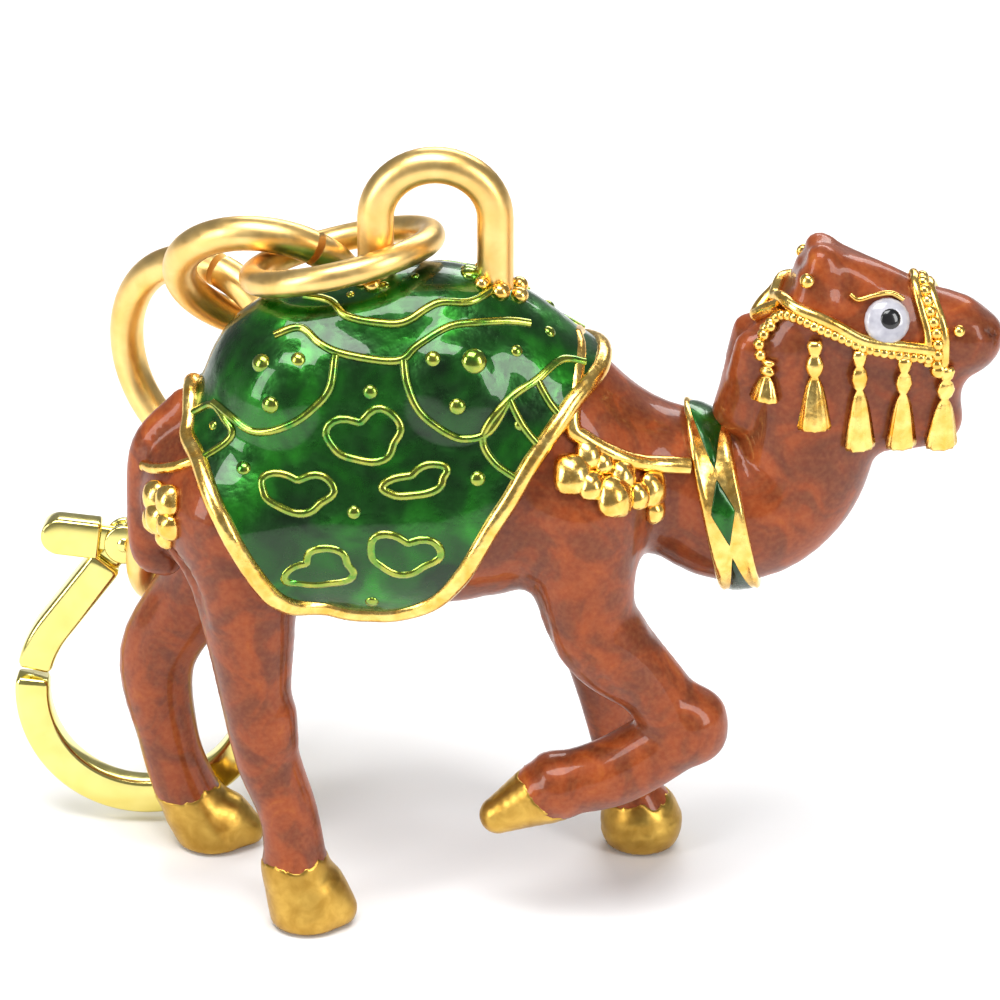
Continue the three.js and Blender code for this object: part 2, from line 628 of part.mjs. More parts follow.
const { hook, gate } = claspPieces();
const standing = (body) => solid(unsolid(body).applyMatrix4(claspPlane));
const charm = new THREE.Group();
charm.add(piece('camel', camel, COLOURS.enamel));
LINKS.forEach((row, i) => charm.add(piece(`chain_link_${i + 1}`, link(row), COLOURS.gold)));
charm.add(piece('clasp_hook', standing(hook), COLOURS.brass));
charm.add(piece('clasp_gate', standing(gate), COLOURS.brass));

// The origin is under the middle of the whole charm
const box = new THREE.Box3().setFromObject(charm);
const shift = new THREE.Vector3(-(box.min.x + box.max.x) / 2, -(box.min.y + box.max.y) / 2, -box.min.z);
charm.traverse((node) => {
  if (node.isMesh) {
    node.geometry.translate(shift.x, shift.y, shift.z);
    node.geometry.computeVertexNormals();
  }
});

export default charm;
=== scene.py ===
# %% [markdown]
# # A camel charm in cast metal and enamel
# The real thing is a small charm: a walking dromedary cast in zinc, plated with gold and then filled by
# hand with glossy enamel. A chain of four jump rings leads to a round trigger clasp with a sprung gate.
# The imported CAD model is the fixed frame. Everything below is drawn in millimetres on the camel's own
# axes and moved into the frame by one shift.

# %% Load the frame
import math

import bpy
import numpy as np
from mathutils import Matrix, Vector


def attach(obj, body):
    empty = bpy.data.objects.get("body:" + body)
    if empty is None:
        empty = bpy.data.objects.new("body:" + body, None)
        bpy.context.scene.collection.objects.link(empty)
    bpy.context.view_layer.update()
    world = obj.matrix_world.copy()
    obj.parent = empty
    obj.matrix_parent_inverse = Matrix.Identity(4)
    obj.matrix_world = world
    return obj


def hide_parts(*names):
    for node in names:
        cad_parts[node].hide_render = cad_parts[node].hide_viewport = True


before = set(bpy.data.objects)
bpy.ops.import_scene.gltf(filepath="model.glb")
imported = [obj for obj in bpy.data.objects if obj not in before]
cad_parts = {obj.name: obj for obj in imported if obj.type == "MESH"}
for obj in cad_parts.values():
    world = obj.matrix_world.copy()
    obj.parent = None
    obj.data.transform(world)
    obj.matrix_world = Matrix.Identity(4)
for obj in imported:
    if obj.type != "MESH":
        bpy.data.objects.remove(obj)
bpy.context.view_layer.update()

MM = 0.001
CAMEL_PLACE = np.array([0.6003, -4.4176, 0.0])   # from the camel's own axes to the middle of the charm

# %% [markdown]
# Four helpers carry the whole file: one adds a node with its settings and links, one turns a hex colour
# into linear light, one makes a mesh object from lists, and one hands a finished piece to the frame.

# %% Helpers
def add_node(tree, kind, inputs=None, **settings):
    made = tree.nodes.new(kind)
    for name, value in settings.items():
        setattr(made, name, value)
    for key, value in (inputs or {}).items():
        if isinstance(value, bpy.types.NodeSocket):
            tree.links.new(value, made.inputs[key])
        else:
            made.inputs[key].default_value = value
    return made


def linear(hex_colour):
    channels = [int(hex_colour[i:i + 2], 16) / 255 for i in (1, 3, 5)]
    return (*[c / 12.92 if c <= 0.04045 else ((c + 0.055) / 1.055) ** 2.4 for c in channels], 1.0)


def mesh_object(name, points, faces=(), edges=(), material=None):
    mesh = bpy.data.meshes.new(name)
    placed = (np.asarray(points, float) + CAMEL_PLACE) * MM
    mesh.from_pydata(placed.tolist(), [list(e) for e in edges], [list(map(int, f)) for f in faces])
    mesh.shade_smooth()
    if material:
        mesh.materials.append(material)
    made = bpy.data.objects.new(name, mesh)
    bpy.context.scene.collection.objects.link(made)
    return made


def dress(piece, body="charm", stands_for=()):
    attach(piece, body)
    if stands_for:
        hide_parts(*stands_for)
    print(f"{piece.name}: {sum(len(p.vertices) - 2 for p in piece.data.polygons)} triangles")
    return piece


# %% [markdown]
# ## Finishes
# The enamels are coloured glass over bright metal: light goes through the glass, comes back from the
# metal and is tinted. A partly metallic base in the glass's colour under a clear, very smooth coat gives
# that, and costs far less than real glass. Pattern sizes are the real ones: powder grains of 0.2 to
# 3 mm in the enamel, tool marks of a few tenths in the plated metal.

# %% Enamel and metal materials
def grain(size_mm):
    return 1000.0 / size_mm      # cycles per metre for a pattern whose patches are this many millimetres


def new_material(name):
    made = bpy.data.materials.new(name)
    made.use_nodes = True
    made.node_tree.nodes.clear()
    tree = made.node_tree
    place = add_node(tree, "ShaderNodeTexCoord").outputs["Object"]
    return made, tree, place


def noise(tree, place, size_mm, detail=2.0, distortion=0.0, roughness=0.5):
    return add_node(tree, "ShaderNodeTexNoise", {
        "Vector": place, "Scale": grain(size_mm), "Detail": detail, "Distortion": distortion,
        "Roughness": roughness}).outputs["Fac"]


def ramp(tree, factor, stops):
    made = add_node(tree, "ShaderNodeValToRGB", {"Fac": factor})
    elements = made.color_ramp.elements
    elements[0].position, elements[0].color = stops[0][0], linear(stops[0][1])
    elements[1].position, elements[1].color = stops[-1][0], linear(stops[-1][1])
    for position, colour in stops[1:-1]:
        elements.new(position).color = linear(colour)
    return made.outputs["Color"]


def surface(tree, colour, roughness, metallic, bump=None, coat=0.0, coat_roughness=0.03):
    shader = add_node(tree, "ShaderNodeBsdfPrincipled", {
        "Base Color": colour, "Roughness": roughness, "Metallic": metallic,
        "Coat Weight": coat, "Coat Roughness": coat_roughness, "Coat IOR": 1.52,
        "Specular IOR Level": 0.2 if coat and metallic < 0.5 else 0.5})
    if bump:
        height, depth_mm, strength = bump
        normal = add_node(tree, "ShaderNodeBump", {
            "Height": height, "Distance": depth_mm * MM, "Strength": strength}).outputs["Normal"]
        tree.links.new(normal, shader.inputs["Normal"])
    add_node(tree, "ShaderNodeOutputMaterial", {"Surface": shader.outputs["BSDF"]})


def spread(tree, factor, low, high):
    return add_node(tree, "ShaderNodeMapRange", {
        "Value": factor, "From Min": 0.3, "From Max": 0.7, "To Min": low, "To Max": high}).outputs["Result"]


def hide_enamel():
    # Pearl enamel, laid on wet and fired: mica in it clouds into orange and brown patches of 1 to 3 mm,
    # and it is thinner, so warmer, on every ridge. The fired surface is glossy.
    made, tree, place = new_material("pearl enamel red brown")
    clouds = noise(tree, place, 2.6, 3.0, 1.2)
    specks = noise(tree, place, 0.28, 2.0)
    ridge = add_node(tree, "ShaderNodeAttribute", attribute_name="ridge").outputs["Fac"]
    both = add_node(tree, "ShaderNodeMath", {0: clouds, 1: ridge}, operation="ADD").outputs[0]
    base = ramp(tree, both, [(0.2, "#562008"), (0.42, "#76300C"), (0.52, "#8E3A09"), (0.66, "#A1450C"),
                             (0.86, "#C06C1C")])
    mica = ramp(tree, specks, [(0.35, "#6A3824"), (0.7, "#96603C")])
    colour = add_node(tree, "ShaderNodeMix", {0: 0.3, 6: base, 7: mica}, data_type="RGBA").outputs[2]
    surface(tree, colour, spread(tree, clouds, 0.36, 0.5), 0.18, (specks, 0.02, 0.25), 0.36, 0.05)
    return made


def cloth_enamel():
    # Transparent green enamel over a bright stippled ground: deep where the ground turns away from the
    # light and vivid where it throws the light back through the glass.
    made, tree, place = new_material("transparent enamel green")
    pools = noise(tree, place, 3.0, 2.0, 0.6)
    stipple = noise(tree, place, 0.7, 2.0)
    colour = ramp(tree, pools, [(0.3, "#052A04"), (0.52, "#0C4C07"), (0.72, "#1A780C")])
    surface(tree, colour, spread(tree, stipple, 0.22, 0.42), 0.72, (stipple, 0.12, 0.5), 0.6, 0.02)
    return made


def metal(name, light, dark, rough, patch_mm, bump_mm, coat=0.0):
    made, tree, place = new_material(name)
    patches = noise(tree, place, patch_mm, 3.0, 0.4)
    marks = noise(tree, place, patch_mm * 0.35, 2.0)
    colour = ramp(tree, patches, [(0.3, dark), (0.7, light)])
    surface(tree, colour, spread(tree, marks, *rough), 1.0, (patches, bump_mm, 0.6), coat)
    return made


HIDE = hide_enamel()
CLOTH = cloth_enamel()
# Plated gold straight from the mould: bright, a little lumpy, so reflections break up into specks
CAST_GOLD = metal("gold plated casting", "#FCDA80", "#ECB450", (0.14, 0.3), 0.8, 0.05)
# Tumbled before plating: soft, even highlights
SATIN_GOLD = metal("gold plated satin wire", "#F6D288", "#EDC070", (0.3, 0.4), 1.6, 0.004)
HOOF_GOLD = metal("gold plated brushed hoof", "#CDA650", "#AC8438", (0.3, 0.42), 1.0, 0.012)
# The clasp is bought in, stamped and polished: paler and sharper than the casting
CLASP_GOLD = metal("pale gold plated stamping", "#F2E48E", "#E6D678", (0.12, 0.2), 2.5, 0.004)
# Relief lines of the cloth: gold that shows through a thin skin of green
VEILED_GOLD = metal("gold under thin green enamel", "#B4B23E", "#3E8A20", (0.14, 0.3), 0.9, 0.03, 0.8)


def opaque_enamel(name, light, dark):
    made, tree, place = new_material(name)
    colour = ramp(tree, noise(tree, place, 0.6), [(0.3, dark), (0.7, light)])
    surface(tree, colour, 0.3, 0.0, None, 1.0)
    return made


EYE_WHITE = opaque_enamel("opaque enamel white", "#BDBBC1", "#9D9CA6")
EYE_BLACK = opaque_enamel("opaque enamel black", "#0B0B0C", "#1B1718")
print("materials:", len(bpy.data.materials))

# %% [markdown]
# ## The casting
# The animal has no straight line anywhere, so it is drawn as limbs: chains of balls whose radius and
# place change smoothly, melted together where they meet. Each limb is a distance field, a function that
# gives how far a point is from its skin. The same rows of numbers make the CAD solid; here the field is
# read on a grid about four times finer.

# %% Limb rows, in millimetres: x, y, z, radius, and how wide a section is for its height
TRUNK = [[-15.0, 0, 25.2, 5.0, 1.06], [-6.0, 0, 25.3, 6.75, 1.03], [3.6, 0, 25.9, 5.9, 0.94]]
HUMP = [[-9.9, 0, 30.6, 6.0, 0.86], [-6.4, 0, 31.2, 6.2, 0.82], [-3.0, 0, 31.3, 6.4, 0.8],
        [0.9, 0, 28.8, 6.1, 0.86]]
NECK = [[4.0, 0, 26.2, 4.6, 0.95], [8.8, 0, 25.9, 4.1, 0.92], [12.9, 0, 24.0, 4.3, 0.9],
        [15.8, 0, 25.3, 3.9, 0.88], [16.9, 0, 28.6, 3.9, 0.82], [16.6, 0, 32.6, 3.3, 0.85]]
SKULL = [[16.6, 0, 34.6, 2.5, 1.0], [19.5, 0, 35.2, 2.9, 0.92], [22.4, 0, 34.4, 2.55, 0.9],
         [25.0, 0, 34.0, 2.05, 0.95]]
CHEEK = [[19.0, 0, 32.4, 2.7, 0.9], [23.6, 0, 31.9, 1.9, 0.95]]
JAW = [[17.5, 0, 31.0, 2.7, 0.95], [21.0, 0, 29.7, 2.1, 0.95], [23.8, 0, 29.5, 1.7, 1.0]]
EAR = [[17.3, 0.9, 36.4, 1.6], [17.35, 1.1, 38.8, 0.7]]
TAIL = [[-17.2, 0, 29.9, 1.2], [-19.3, 0, 27.6, 1.1], [-19.75, 0, 24.0, 1.0], [-19.5, 0, 21.3, 1.1],
        [-18.7, 0, 20.7, 1.0]]
HIND_NEAR = [[-14.6, -3.7, 25.3, 3.4], [-13.9, -4.1, 19.0, 2.6], [-13.6, -4.3, 14.4, 2.0],
             [-13.0, -4.3, 10.4, 1.8], [-11.9, -4.3, 6.8, 1.65], [-11.5, -4.3, 3.2, 1.8]]
HIND_FAR = [[-15.4, 3.7, 24.5, 3.4], [-16.8, 4.5, 17.6, 2.5], [-19.6, 4.9, 12.2, 2.2],
            [-19.2, 4.9, 7.0, 1.75], [-18.3, 4.9, 3.6, 1.8], [-17.2, 4.9, 1.6, 1.7]]
FORE_NEAR = [[4.4, -3.6, 25.6, 3.4], [4.8, -4.2, 20.0, 2.65], [6.0, -4.4, 17.5, 2.5],
             [8.4, -4.4, 15.0, 1.95], [10.3, -4.4, 12.2, 2.0]]
SHIN_NEAR = [[10.3, -4.4, 12.2, 2.0], [6.6, -4.4, 9.7, 2.0], [3.4, -4.4, 8.7, 1.75]]
FORE_FAR = [[4.2, 3.6, 24.0, 3.4], [4.6, 4.4, 17.4, 2.4], [6.1, 4.8, 10.0, 1.7], [7.3, 4.8, 4.8, 1.55],
            [8.0, 4.8, 2.0, 1.6]]
HOOF_LIMBS = [
    [[-11.6, -4.3, 3.4, 1.85], [-10.9, -4.3, 0.9, 2.2]],
    [[-17.6, 4.9, 2.0, 1.9], [-16.7, 4.9, 0.6, 2.1]],
    [[8.0, 4.8, 2.2, 1.9], [8.2, 4.8, 1.3, 2.35]],
    [[3.1, -4.4, 8.6, 2.0], [-0.1, -4.4, 6.8, 0.98]],
    [[3.3, -4.4, 7.9, 1.0], [-0.1, -4.4, 6.7, 0.9]],
]
LIMB_STEPS = 6
REACH, FAR = 3.4, 3.2            # a limb is left out of the sum beyond this distance from its box
BARREL_Z = 25.0


# %% Splines and distances
def spline(rows, steps=LIMB_STEPS, closed=False):
    rows = np.array(rows, float)
    if closed:
        knots = np.vstack([rows[-1], rows, rows[:2]])
    else:
        knots = np.vstack([2 * rows[0] - rows[1], rows, 2 * rows[-1] - rows[-2]])
    t = (np.arange(steps) / steps)[:, None]
    out = []
    for a, b, c, d in zip(knots, knots[1:], knots[2:], knots[3:]):
        out.append(0.5 * (2 * b + (c - a) * t + (2 * a - 5 * b + 4 * c - d) * t ** 2
                          + (3 * b - a - 3 * c + d) * t ** 3))
    return np.vstack(out if closed else [*out, rows[-1:]])


def limb(rows):
    return spline([row if len(row) == 5 else [*row, 1.0] for row in rows])


def limb_distance(knots, points):
    low = (knots[:, :3] - knots[:, 3:4]).min(0) - REACH
    high = (knots[:, :3] + knots[:, 3:4]).max(0) + REACH
    near = np.all((points > low) & (points < high), axis=1)
    nearest = np.full(near.sum(), np.inf)
    close = points[near]
    for a, b in zip(knots, knots[1:]):
        along = b[:3] - a[:3]
        t = np.clip((close - a[:3]) @ along / (along @ along), 0, 1)
        width = a[4] + t * (b[4] - a[4])
        gap = close - a[:3] - t[:, None] * along
        gap[:, 1] /= width
        radius = a[3] + t * (b[3] - a[3])
        nearest = np.minimum(nearest, (np.linalg.norm(gap, axis=1) - radius) * np.minimum(width, 1))
    out = np.full(len(points), FAR)
    out[near] = nearest
    return out


def blend(a, b, soft):
    h = np.clip(0.5 + 0.5 * (b - a) / soft, 0, 1)
    return b + (a - b) * h - soft * h * (1 - h)


def joined(first, group, points):
    for knots, soft in group:
        nearest = limb_distance(knots, points)
        first = nearest if first is None else blend(first, nearest, soft)
    return first


NEAR_EAR = [[x, -y, z, r] for x, y, z, r in EAR]
BARREL_GROUP = [(limb(r), s) for r, s in [(TRUNK, 0), (HUMP, 2.2), (NECK, 1.4)]]
SKULL_GROUP = [(limb(r), s) for r, s in [(SKULL, 0), (CHEEK, 0.8), (JAW, 1.0), (EAR, 0.9), (NEAR_EAR, 0.9)]]
LEG_GROUP = [(limb(r), s) for r, s in [(HIND_NEAR, 1.6), (HIND_FAR, 1.6), (FORE_FAR, 1.4)]]
BENT_GROUP = [(limb(r), s) for r, s in [(FORE_NEAR, 0), (SHIN_NEAR, 0.35)]]
END_GROUP = [(limb(r), s) for r, s in [*[(rows, 0.3) for rows in HOOF_LIMBS], (TAIL, 0.4)]]


def animal(points):
    d = joined(None, BARREL_GROUP, points)
    d = blend(d, joined(None, SKULL_GROUP, points), 1.0)
    d = joined(d, LEG_GROUP, points)
    d = blend(d, joined(None, BENT_GROUP, points), 1.4)
    return joined(d, END_GROUP, points)


# %% [markdown]
# The fine modelling is cut into the same field: the mouth, the nostrils, the folds where the legs leave
# the belly, the back of the ears, the top of the muzzle, the joints and the locks of the nape. Each is a
# limb that is either melted on or scooped out softly. The paired ones are drawn on the near side only.

# %% Modelling on the casting
PAIRED_SCOOPS = [   # rows, softness: taken away
    ([[26.4, -1.5, 32.7, 0.2], [25.0, -2.2, 32.5, 0.28], [23.0, -2.6, 32.2, 0.24]], 0.35),
    ([[26.75, -0.95, 34.6, 0.3], [26.3, -1.3, 35.1, 0.24]], 0.25),
    ([[-17.9, -3.5, 24.0, 0.25], [-16.9, -5.2, 21.8, 0.34], [-16.3, -5.9, 18.6, 0.2]], 0.5),
]
SINGLE_SCOOPS = [
    ([[1.2, -5.7, 21.6, 0.3], [2.2, -5.5, 19.4, 0.35], [2.7, -5.0, 17.6, 0.2]], 0.6),
    ([[7.9, -5.2, 22.6, 0.3], [8.4, -4.6, 20.4, 0.35], [8.6, -4.2, 18.6, 0.2]], 0.6),
    ([[5.6, -6.8, 16.6, 0.2], [7.0, -6.7, 14.4, 0.3], [7.2, -6.6, 12.2, 0.25], [6.4, -6.5, 11.6, 0.15]], 0.5),
    ([[15.75, -2.5, 39.3, 0.8], [15.75, 2.5, 39.3, 0.8]], 0.4),
    ([[15.2, -2.5, 38.0, 0.8], [15.2, 2.5, 38.0, 0.8]], 0.4),
    ([[28.1, -3.0, 37.5, 2.3], [28.1, 3.0, 37.5, 2.3]], 0.6),
]
PAIRED_SWELLS = [   # rows, softness: added
    ([[13.6, -1.2, 34.2, 0.8], [13.3, -1.1, 32.6, 0.85]], 1.0),
    ([[13.5, -1.0, 31.2, 0.6], [13.3, -0.8, 30.0, 0.6]], 1.0),
    ([[17.5, -0.7, 39.2, 0.6], [18.8, -0.6, 38.3, 0.95], [20.6, -0.3, 37.2, 1.1],
      [22.8, -0.2, 36.2, 0.95]], 0.9),
    ([[16.9, -0.8, 37.2, 1.3], [17.4, -0.8, 39.2, 0.6]], 0.8),
    ([[24.2, -0.2, 35.1, 1.6], [25.6, -0.2, 34.5, 1.7]], 0.8),
    ([[13.3, -0.3, 31.4, 0.95], [13.05, -0.3, 30.0, 1.1]], 0.9),
]
SINGLE_SWELLS = [
    ([[10.9, -4.4, 12.9, 1.75], [11.2, -4.4, 12.1, 1.4]], 0.8),
    ([[-12.5, -5.0, 13.2, 1.1], [-12.3, -5.1, 11.9, 0.9]], 0.9),
    ([[-10.2, -4.3, 1.9, 1.5], [-9.3, -4.3, 0.7, 1.15]], 0.5),
    ([[-15.9, 4.9, 1.5, 1.4], [-14.9, 4.9, 0.6, 1.1]], 0.5),
]


def mirrored(rows):
    return [[x, -y, *rest] for x, y, *rest in rows]


def limb_group(paired, single):
    far_side = [(mirrored(rows), soft) for rows, soft in paired]
    return [(limb(rows), soft) for rows, soft in paired + far_side + single]


SCOOP_GROUP = limb_group(PAIRED_SCOOPS, SINGLE_SCOOPS)
SWELL_GROUP = limb_group(PAIRED_SWELLS, SINGLE_SWELLS)


def modelled(points):
    d = joined(animal(points), SWELL_GROUP, points)
    for knots, soft in SCOOP_GROUP:
        d = -blend(-d, limb_distance(knots, points), soft)
    return d


# %% [markdown]
# A surface net turns a field into a mesh: every cell that the skin crosses gets one point, and every
# grid edge that it crosses gets one quad. The points are then slid onto the skin itself, so the gloss
# shows no steps. A coarse pass first finds which part of the grid is worth reading finely.

# %% Field to mesh
def slope(field, points, e=0.03):
    steps = np.eye(3) * e
    return np.stack([field(points + s) - field(points - s) for s in steps], axis=1) / (2 * e)


def settle(field, points, lift=0.0, rounds=3):
    for _ in range(rounds):
        g = slope(field, points)
        g /= np.maximum(np.linalg.norm(g, axis=1, keepdims=True), 1e-6)
        points = points + 0.85 * (lift - field(points))[:, None] * g
    return points


def read_grid(field, low, high, cell, stride=3):
    axes = [np.arange(a, b + stride * cell, stride * cell) for a, b in zip(low, high)]
    spots = np.stack(np.meshgrid(*axes, indexing="ij"), -1).reshape(-1, 3)
    coarse = field(spots).reshape([len(a) for a in axes])
    fine_axes = [a[0] + cell * np.arange(stride * (len(a) - 1) + 1) for a in axes]
    nearest = [np.minimum((np.arange(len(f)) + stride // 2) // stride, len(a) - 1)
               for f, a in zip(fine_axes, axes)]
    values = coarse[np.ix_(*nearest)]
    wanted = np.argwhere(np.abs(values) < 1.3 * stride * cell)
    spots = np.stack([fine_axes[k][wanted[:, k]] for k in range(3)], axis=1)
    values[tuple(wanted.T)] = field(spots)
    return values


def surface_net(values, low, cell):
    inside = values < 0
    size = np.array(values.shape)
    corners = [(i, j, k) for i in (0, 1) for j in (0, 1) for k in (0, 1)]
    count = sum(inside[i:size[0] - 1 + i, j:size[1] - 1 + j, k:size[2] - 1 + k].astype(int)
                for i, j, k in corners)
    active = (count > 0) & (count < 8)
    index = np.full(active.shape, -1)
    index[active] = np.arange(active.sum())
    cells = np.argwhere(active)
    total, hits = np.zeros((len(cells), 3)), np.zeros(len(cells))
    unit = np.eye(3, dtype=int)
    for axis in range(3):
        for p in (0, 1):
            for q in (0, 1):
                a = cells + p * unit[(axis + 1) % 3] + q * unit[(axis + 2) % 3]
                fa, fb = values[tuple(a.T)], values[tuple((a + unit[axis]).T)]
                cross = (fa < 0) != (fb < 0)
                t = fa[cross] / (fa[cross] - fb[cross])
                total[cross] += a[cross] + t[:, None] * unit[axis]
                hits[cross] += 1
    points = np.array(low) + cell * total / hits[:, None]
    quads = []
    for axis in range(3):
        b, c = unit[(axis + 1) % 3], unit[(axis + 2) % 3]
        spots = np.argwhere(inside != np.roll(inside, -1, axis))
        room = np.all((spots >= b + c) & (spots < size - 1), axis=1)
        spots = spots[room]
        ring = np.stack([index[tuple((spots - p * b - q * c).T)]
                         for p, q in ((1, 1), (0, 1), (0, 0), (1, 0))], axis=1)
        starts_inside = inside[tuple(spots.T)]
        ring[~starts_inside] = ring[~starts_inside][:, ::-1]
        quads.append(ring)
    return points, np.vstack(quads)


# %% [markdown]
# The hide is one skin over the whole animal. Where the real enamel is thin it shows the gold beneath, on
# every ridge, so each point also gets the number "ridge": how far its neighbours lie below it.

# %% Hide
HIDE_CELL = 0.36
HIDE_FLOOR = 0.12          # the hoof caps stand on the ground, the hide stops just above it
HIDE_BOX = (-24, -9.8, -1.0), (29, 9.6, 42)
RIDGE_LIMIT = 0.22


def hide_field(points):
    return np.maximum(modelled(points), HIDE_FLOOR - points[:, 2])


def net_object(name, field, low, high, cell, material):
    values = read_grid(field, low, high, cell)
    points, quads = surface_net(values, low, cell)
    return mesh_object(name, points, quads, material=material), points, quads


hide, hide_points, hide_quads = net_object(
    "camel_hide", hide_field, *HIDE_BOX, HIDE_CELL, HIDE)
on_skin = hide_points[:, 2] > HIDE_FLOOR + 0.25
hide_points[on_skin] = settle(modelled, hide_points[on_skin], rounds=2)
for vertex, place in zip(hide.data.vertices, (hide_points + CAMEL_PLACE) * MM):
    vertex.co = place

middle = np.zeros_like(hide_points)
number = np.zeros(len(hide_points))
for k in range(4):
    np.add.at(middle, hide_quads[:, k], hide_points[hide_quads[:, (k + 1) % 4]])
    np.add.at(number, hide_quads[:, k], 1)
outward = slope(modelled, hide_points)
height = np.einsum("ij,ij->i", hide_points - middle / number[:, None], outward) / HIDE_CELL
for _ in range(6):
    spread_height = np.zeros(len(height))
    for k in range(4):
        np.add.at(spread_height, hide_quads[:, k], height[hide_quads[:, (k + 1) % 4]])
    height = 0.5 * height + 0.5 * spread_height / number
ridge = np.clip((height - 0.035) * 1.6, -RIDGE_LIMIT, RIDGE_LIMIT)
hide.data.attributes.new("ridge", "FLOAT", "POINT").data.foreach_set("value", ridge)
dress(hide, stands_for=["camel"])
print("ridge from", round(float(ridge.min()), 3), "to", round(float(ridge.max()), 3))

# %% [markdown]
# The enamel stops above each hoof in a ragged line and bare gold goes on to the sole. A cap is the same
# field, a hair thicker, kept only on the far side of a plane that is made to wander a little.

# %% Hooves
HOOF_LIFT = 0.05
HOOF_CELL = 0.18
HOOVES = {   # a point on the edge of the enamel, the direction towards the toe, the box that holds it
    "hoof_hind_near": ((-11.6, -4.3, 4.1), (0.12, 0, -1), (-14.6, -7.4, -1), (-7.8, -1.2, 6)),
    "hoof_hind_far": ((-17.9, 4.9, 3.5), (0.22, 0, -1), (-21.5, 1.8, -1), (-13.6, 8, 6)),
    "hoof_fore_far": ((8.0, 4.8, 3.0), (0.02, 0, -1), (4.8, 1.4, -1), (11.6, 8.2, 5)),
    "hoof_fore_near": ((2.7, -4.4, 7.9), (-0.72, 0, -0.69), (-2.4, -7.6, 4), (6.2, -1.2, 12)),
}
for name, (edge, towards, low, high) in HOOVES.items():
    edge, towards = np.array(edge), np.array(towards) / np.linalg.norm(towards)

    def hoof_field(points, edge=edge, towards=towards):
        x, y = points[:, 0], points[:, 1]
        wander = 0.16 * np.sin(2.3 * x + 1.7 * y) + 0.1 * np.sin(6.1 * y + 4.3 * x)
        kept = wander - (points - edge) @ towards
        return np.maximum(np.maximum(modelled(points) - HOOF_LIFT, kept), -points[:, 2])

    cap, _, _ = net_object(name, hoof_field, low, high, HOOF_CELL, HOOF_GOLD)
    dress(cap)

# %% [markdown]
# ## Saddle cloth
# The cloth is drawn on a chart of the barrel: how far along the camel, and the angle round it. A fan of
# spokes runs from the top of the hump to the hem. The two round panels swell and the saddle between the
# relief lines sinks, as the glass does in its cells.

# %% Chart of the barrel
HEM = [[-16.9, 74], [-17.0, 58], [-16.4, 42], [-15.7, 24], [-14.9, 11], [-13.6, -8.5], [-12.2, -25],
       [-10.5, -35], [-7.5, -41], [-4.6, -36], [-2.5, -20], [-0.6, 7], [0.5, 21], [1.7, 37], [3.6, 57],
       [5.4, 78]]
CLOTH_MIDDLE = np.array([-6.0, 90.0])
CLOTH_LIFT = 0.45
HEM_FLARE = 0.3
PANELS = [(-12.2, 58), (-2.4, 57)]
ALL_HEM = spline(HEM + [[x, 180 - a] for x, a in reversed(HEM)], steps=10, closed=True)


def inwards(start, target, lift):
    towards = target - start
    towards /= np.linalg.norm(towards, axis=1, keepdims=True)
    p = start.copy()
    for _ in range(26):
        p += 0.8 * (animal(p) - lift)[:, None] * towards
    return p


def on_barrel(chart, lift):
    chart = np.atleast_2d(np.asarray(chart, float))
    a = np.radians(chart[:, 1])
    axis = np.stack([chart[:, 0], np.zeros(len(a)), np.full(len(a), BARREL_Z)], axis=1)
    out = np.stack([np.zeros(len(a)), -np.cos(a), np.sin(a)], axis=1)
    return inwards(axis + 15 * out, axis, lift)


def hem_share(chart):
    def turned(rows):
        away = (rows - CLOTH_MIDDLE) / (1.0, 6.0)
        return np.arctan2(away[:, 1], away[:, 0]), np.hypot(away[:, 0], away[:, 1])
    hem_turn, hem_far = turned(ALL_HEM)
    order = np.argsort(hem_turn)
    turn, far = turned(chart)
    return far / np.interp(turn, hem_turn[order], hem_far[order], period=2 * math.pi)


def cloth_relief(chart):
    chart = np.atleast_2d(np.asarray(chart, float))
    x, a = chart[:, 0], chart[:, 1]
    a = np.where(a > 90, 180 - a, a)
    lift = CLOTH_LIFT + HEM_FLARE * np.maximum(0, 1 - np.sin(np.radians(a))) * np.minimum(hem_share(chart), 1)
    for px, pa in PANELS:
        away = np.hypot(x - px, (a - pa) * 0.2)
        lift += 0.42 * np.exp(-(away / 2.3) ** 4)
    dip = a - (76 - 6 * np.exp(-((x + 6.0) / 3.2) ** 2))
    lift -= 0.22 * np.exp(-(dip / 5.0) ** 2) * np.exp(-((x + 5.5) / 6.5) ** 4)
    return lift


def on_cloth(chart, extra=0.0):
    chart = np.atleast_2d(np.asarray(chart, float))
    return on_barrel(chart, cloth_relief(chart) + extra)


# %% Cloth shell
def fan(rings, outline, middle):
    share = np.arange(1, rings + 1)[:, None, None] / rings
    return np.vstack([middle[None, :], (middle + share * (outline - middle)).reshape(-1, 2)])


def fan_faces(rings, n, first=0, flip=False):
    faces = [(first, first + 1 + i, first + 1 + (i + 1) % n) for i in range(n)]
    for ring in range(1, rings):
        for i in range(n):
            j = (i + 1) % n
            a, b = first + 1 + (ring - 1) * n, first + 1 + ring * n
            faces.append((a + i, b + i, b + j, a + j))
    return [f[::-1] for f in faces] if flip else faces


def shell(name, chart_top, chart_low, lift_points, low_points, rings, low_rings, n, material):
    top, low = lift_points(chart_top), low_points(chart_low)
    faces = fan_faces(rings, n) + fan_faces(low_rings, n, len(top), flip=True)
    edge, low_edge = 1 + (rings - 1) * n, len(top) + 1 + (low_rings - 1) * n
    faces += [(edge + i, low_edge + i, low_edge + (i + 1) % n, edge + (i + 1) % n) for i in range(n)]
    return mesh_object(name, np.vstack([top, low]), faces, material=material)


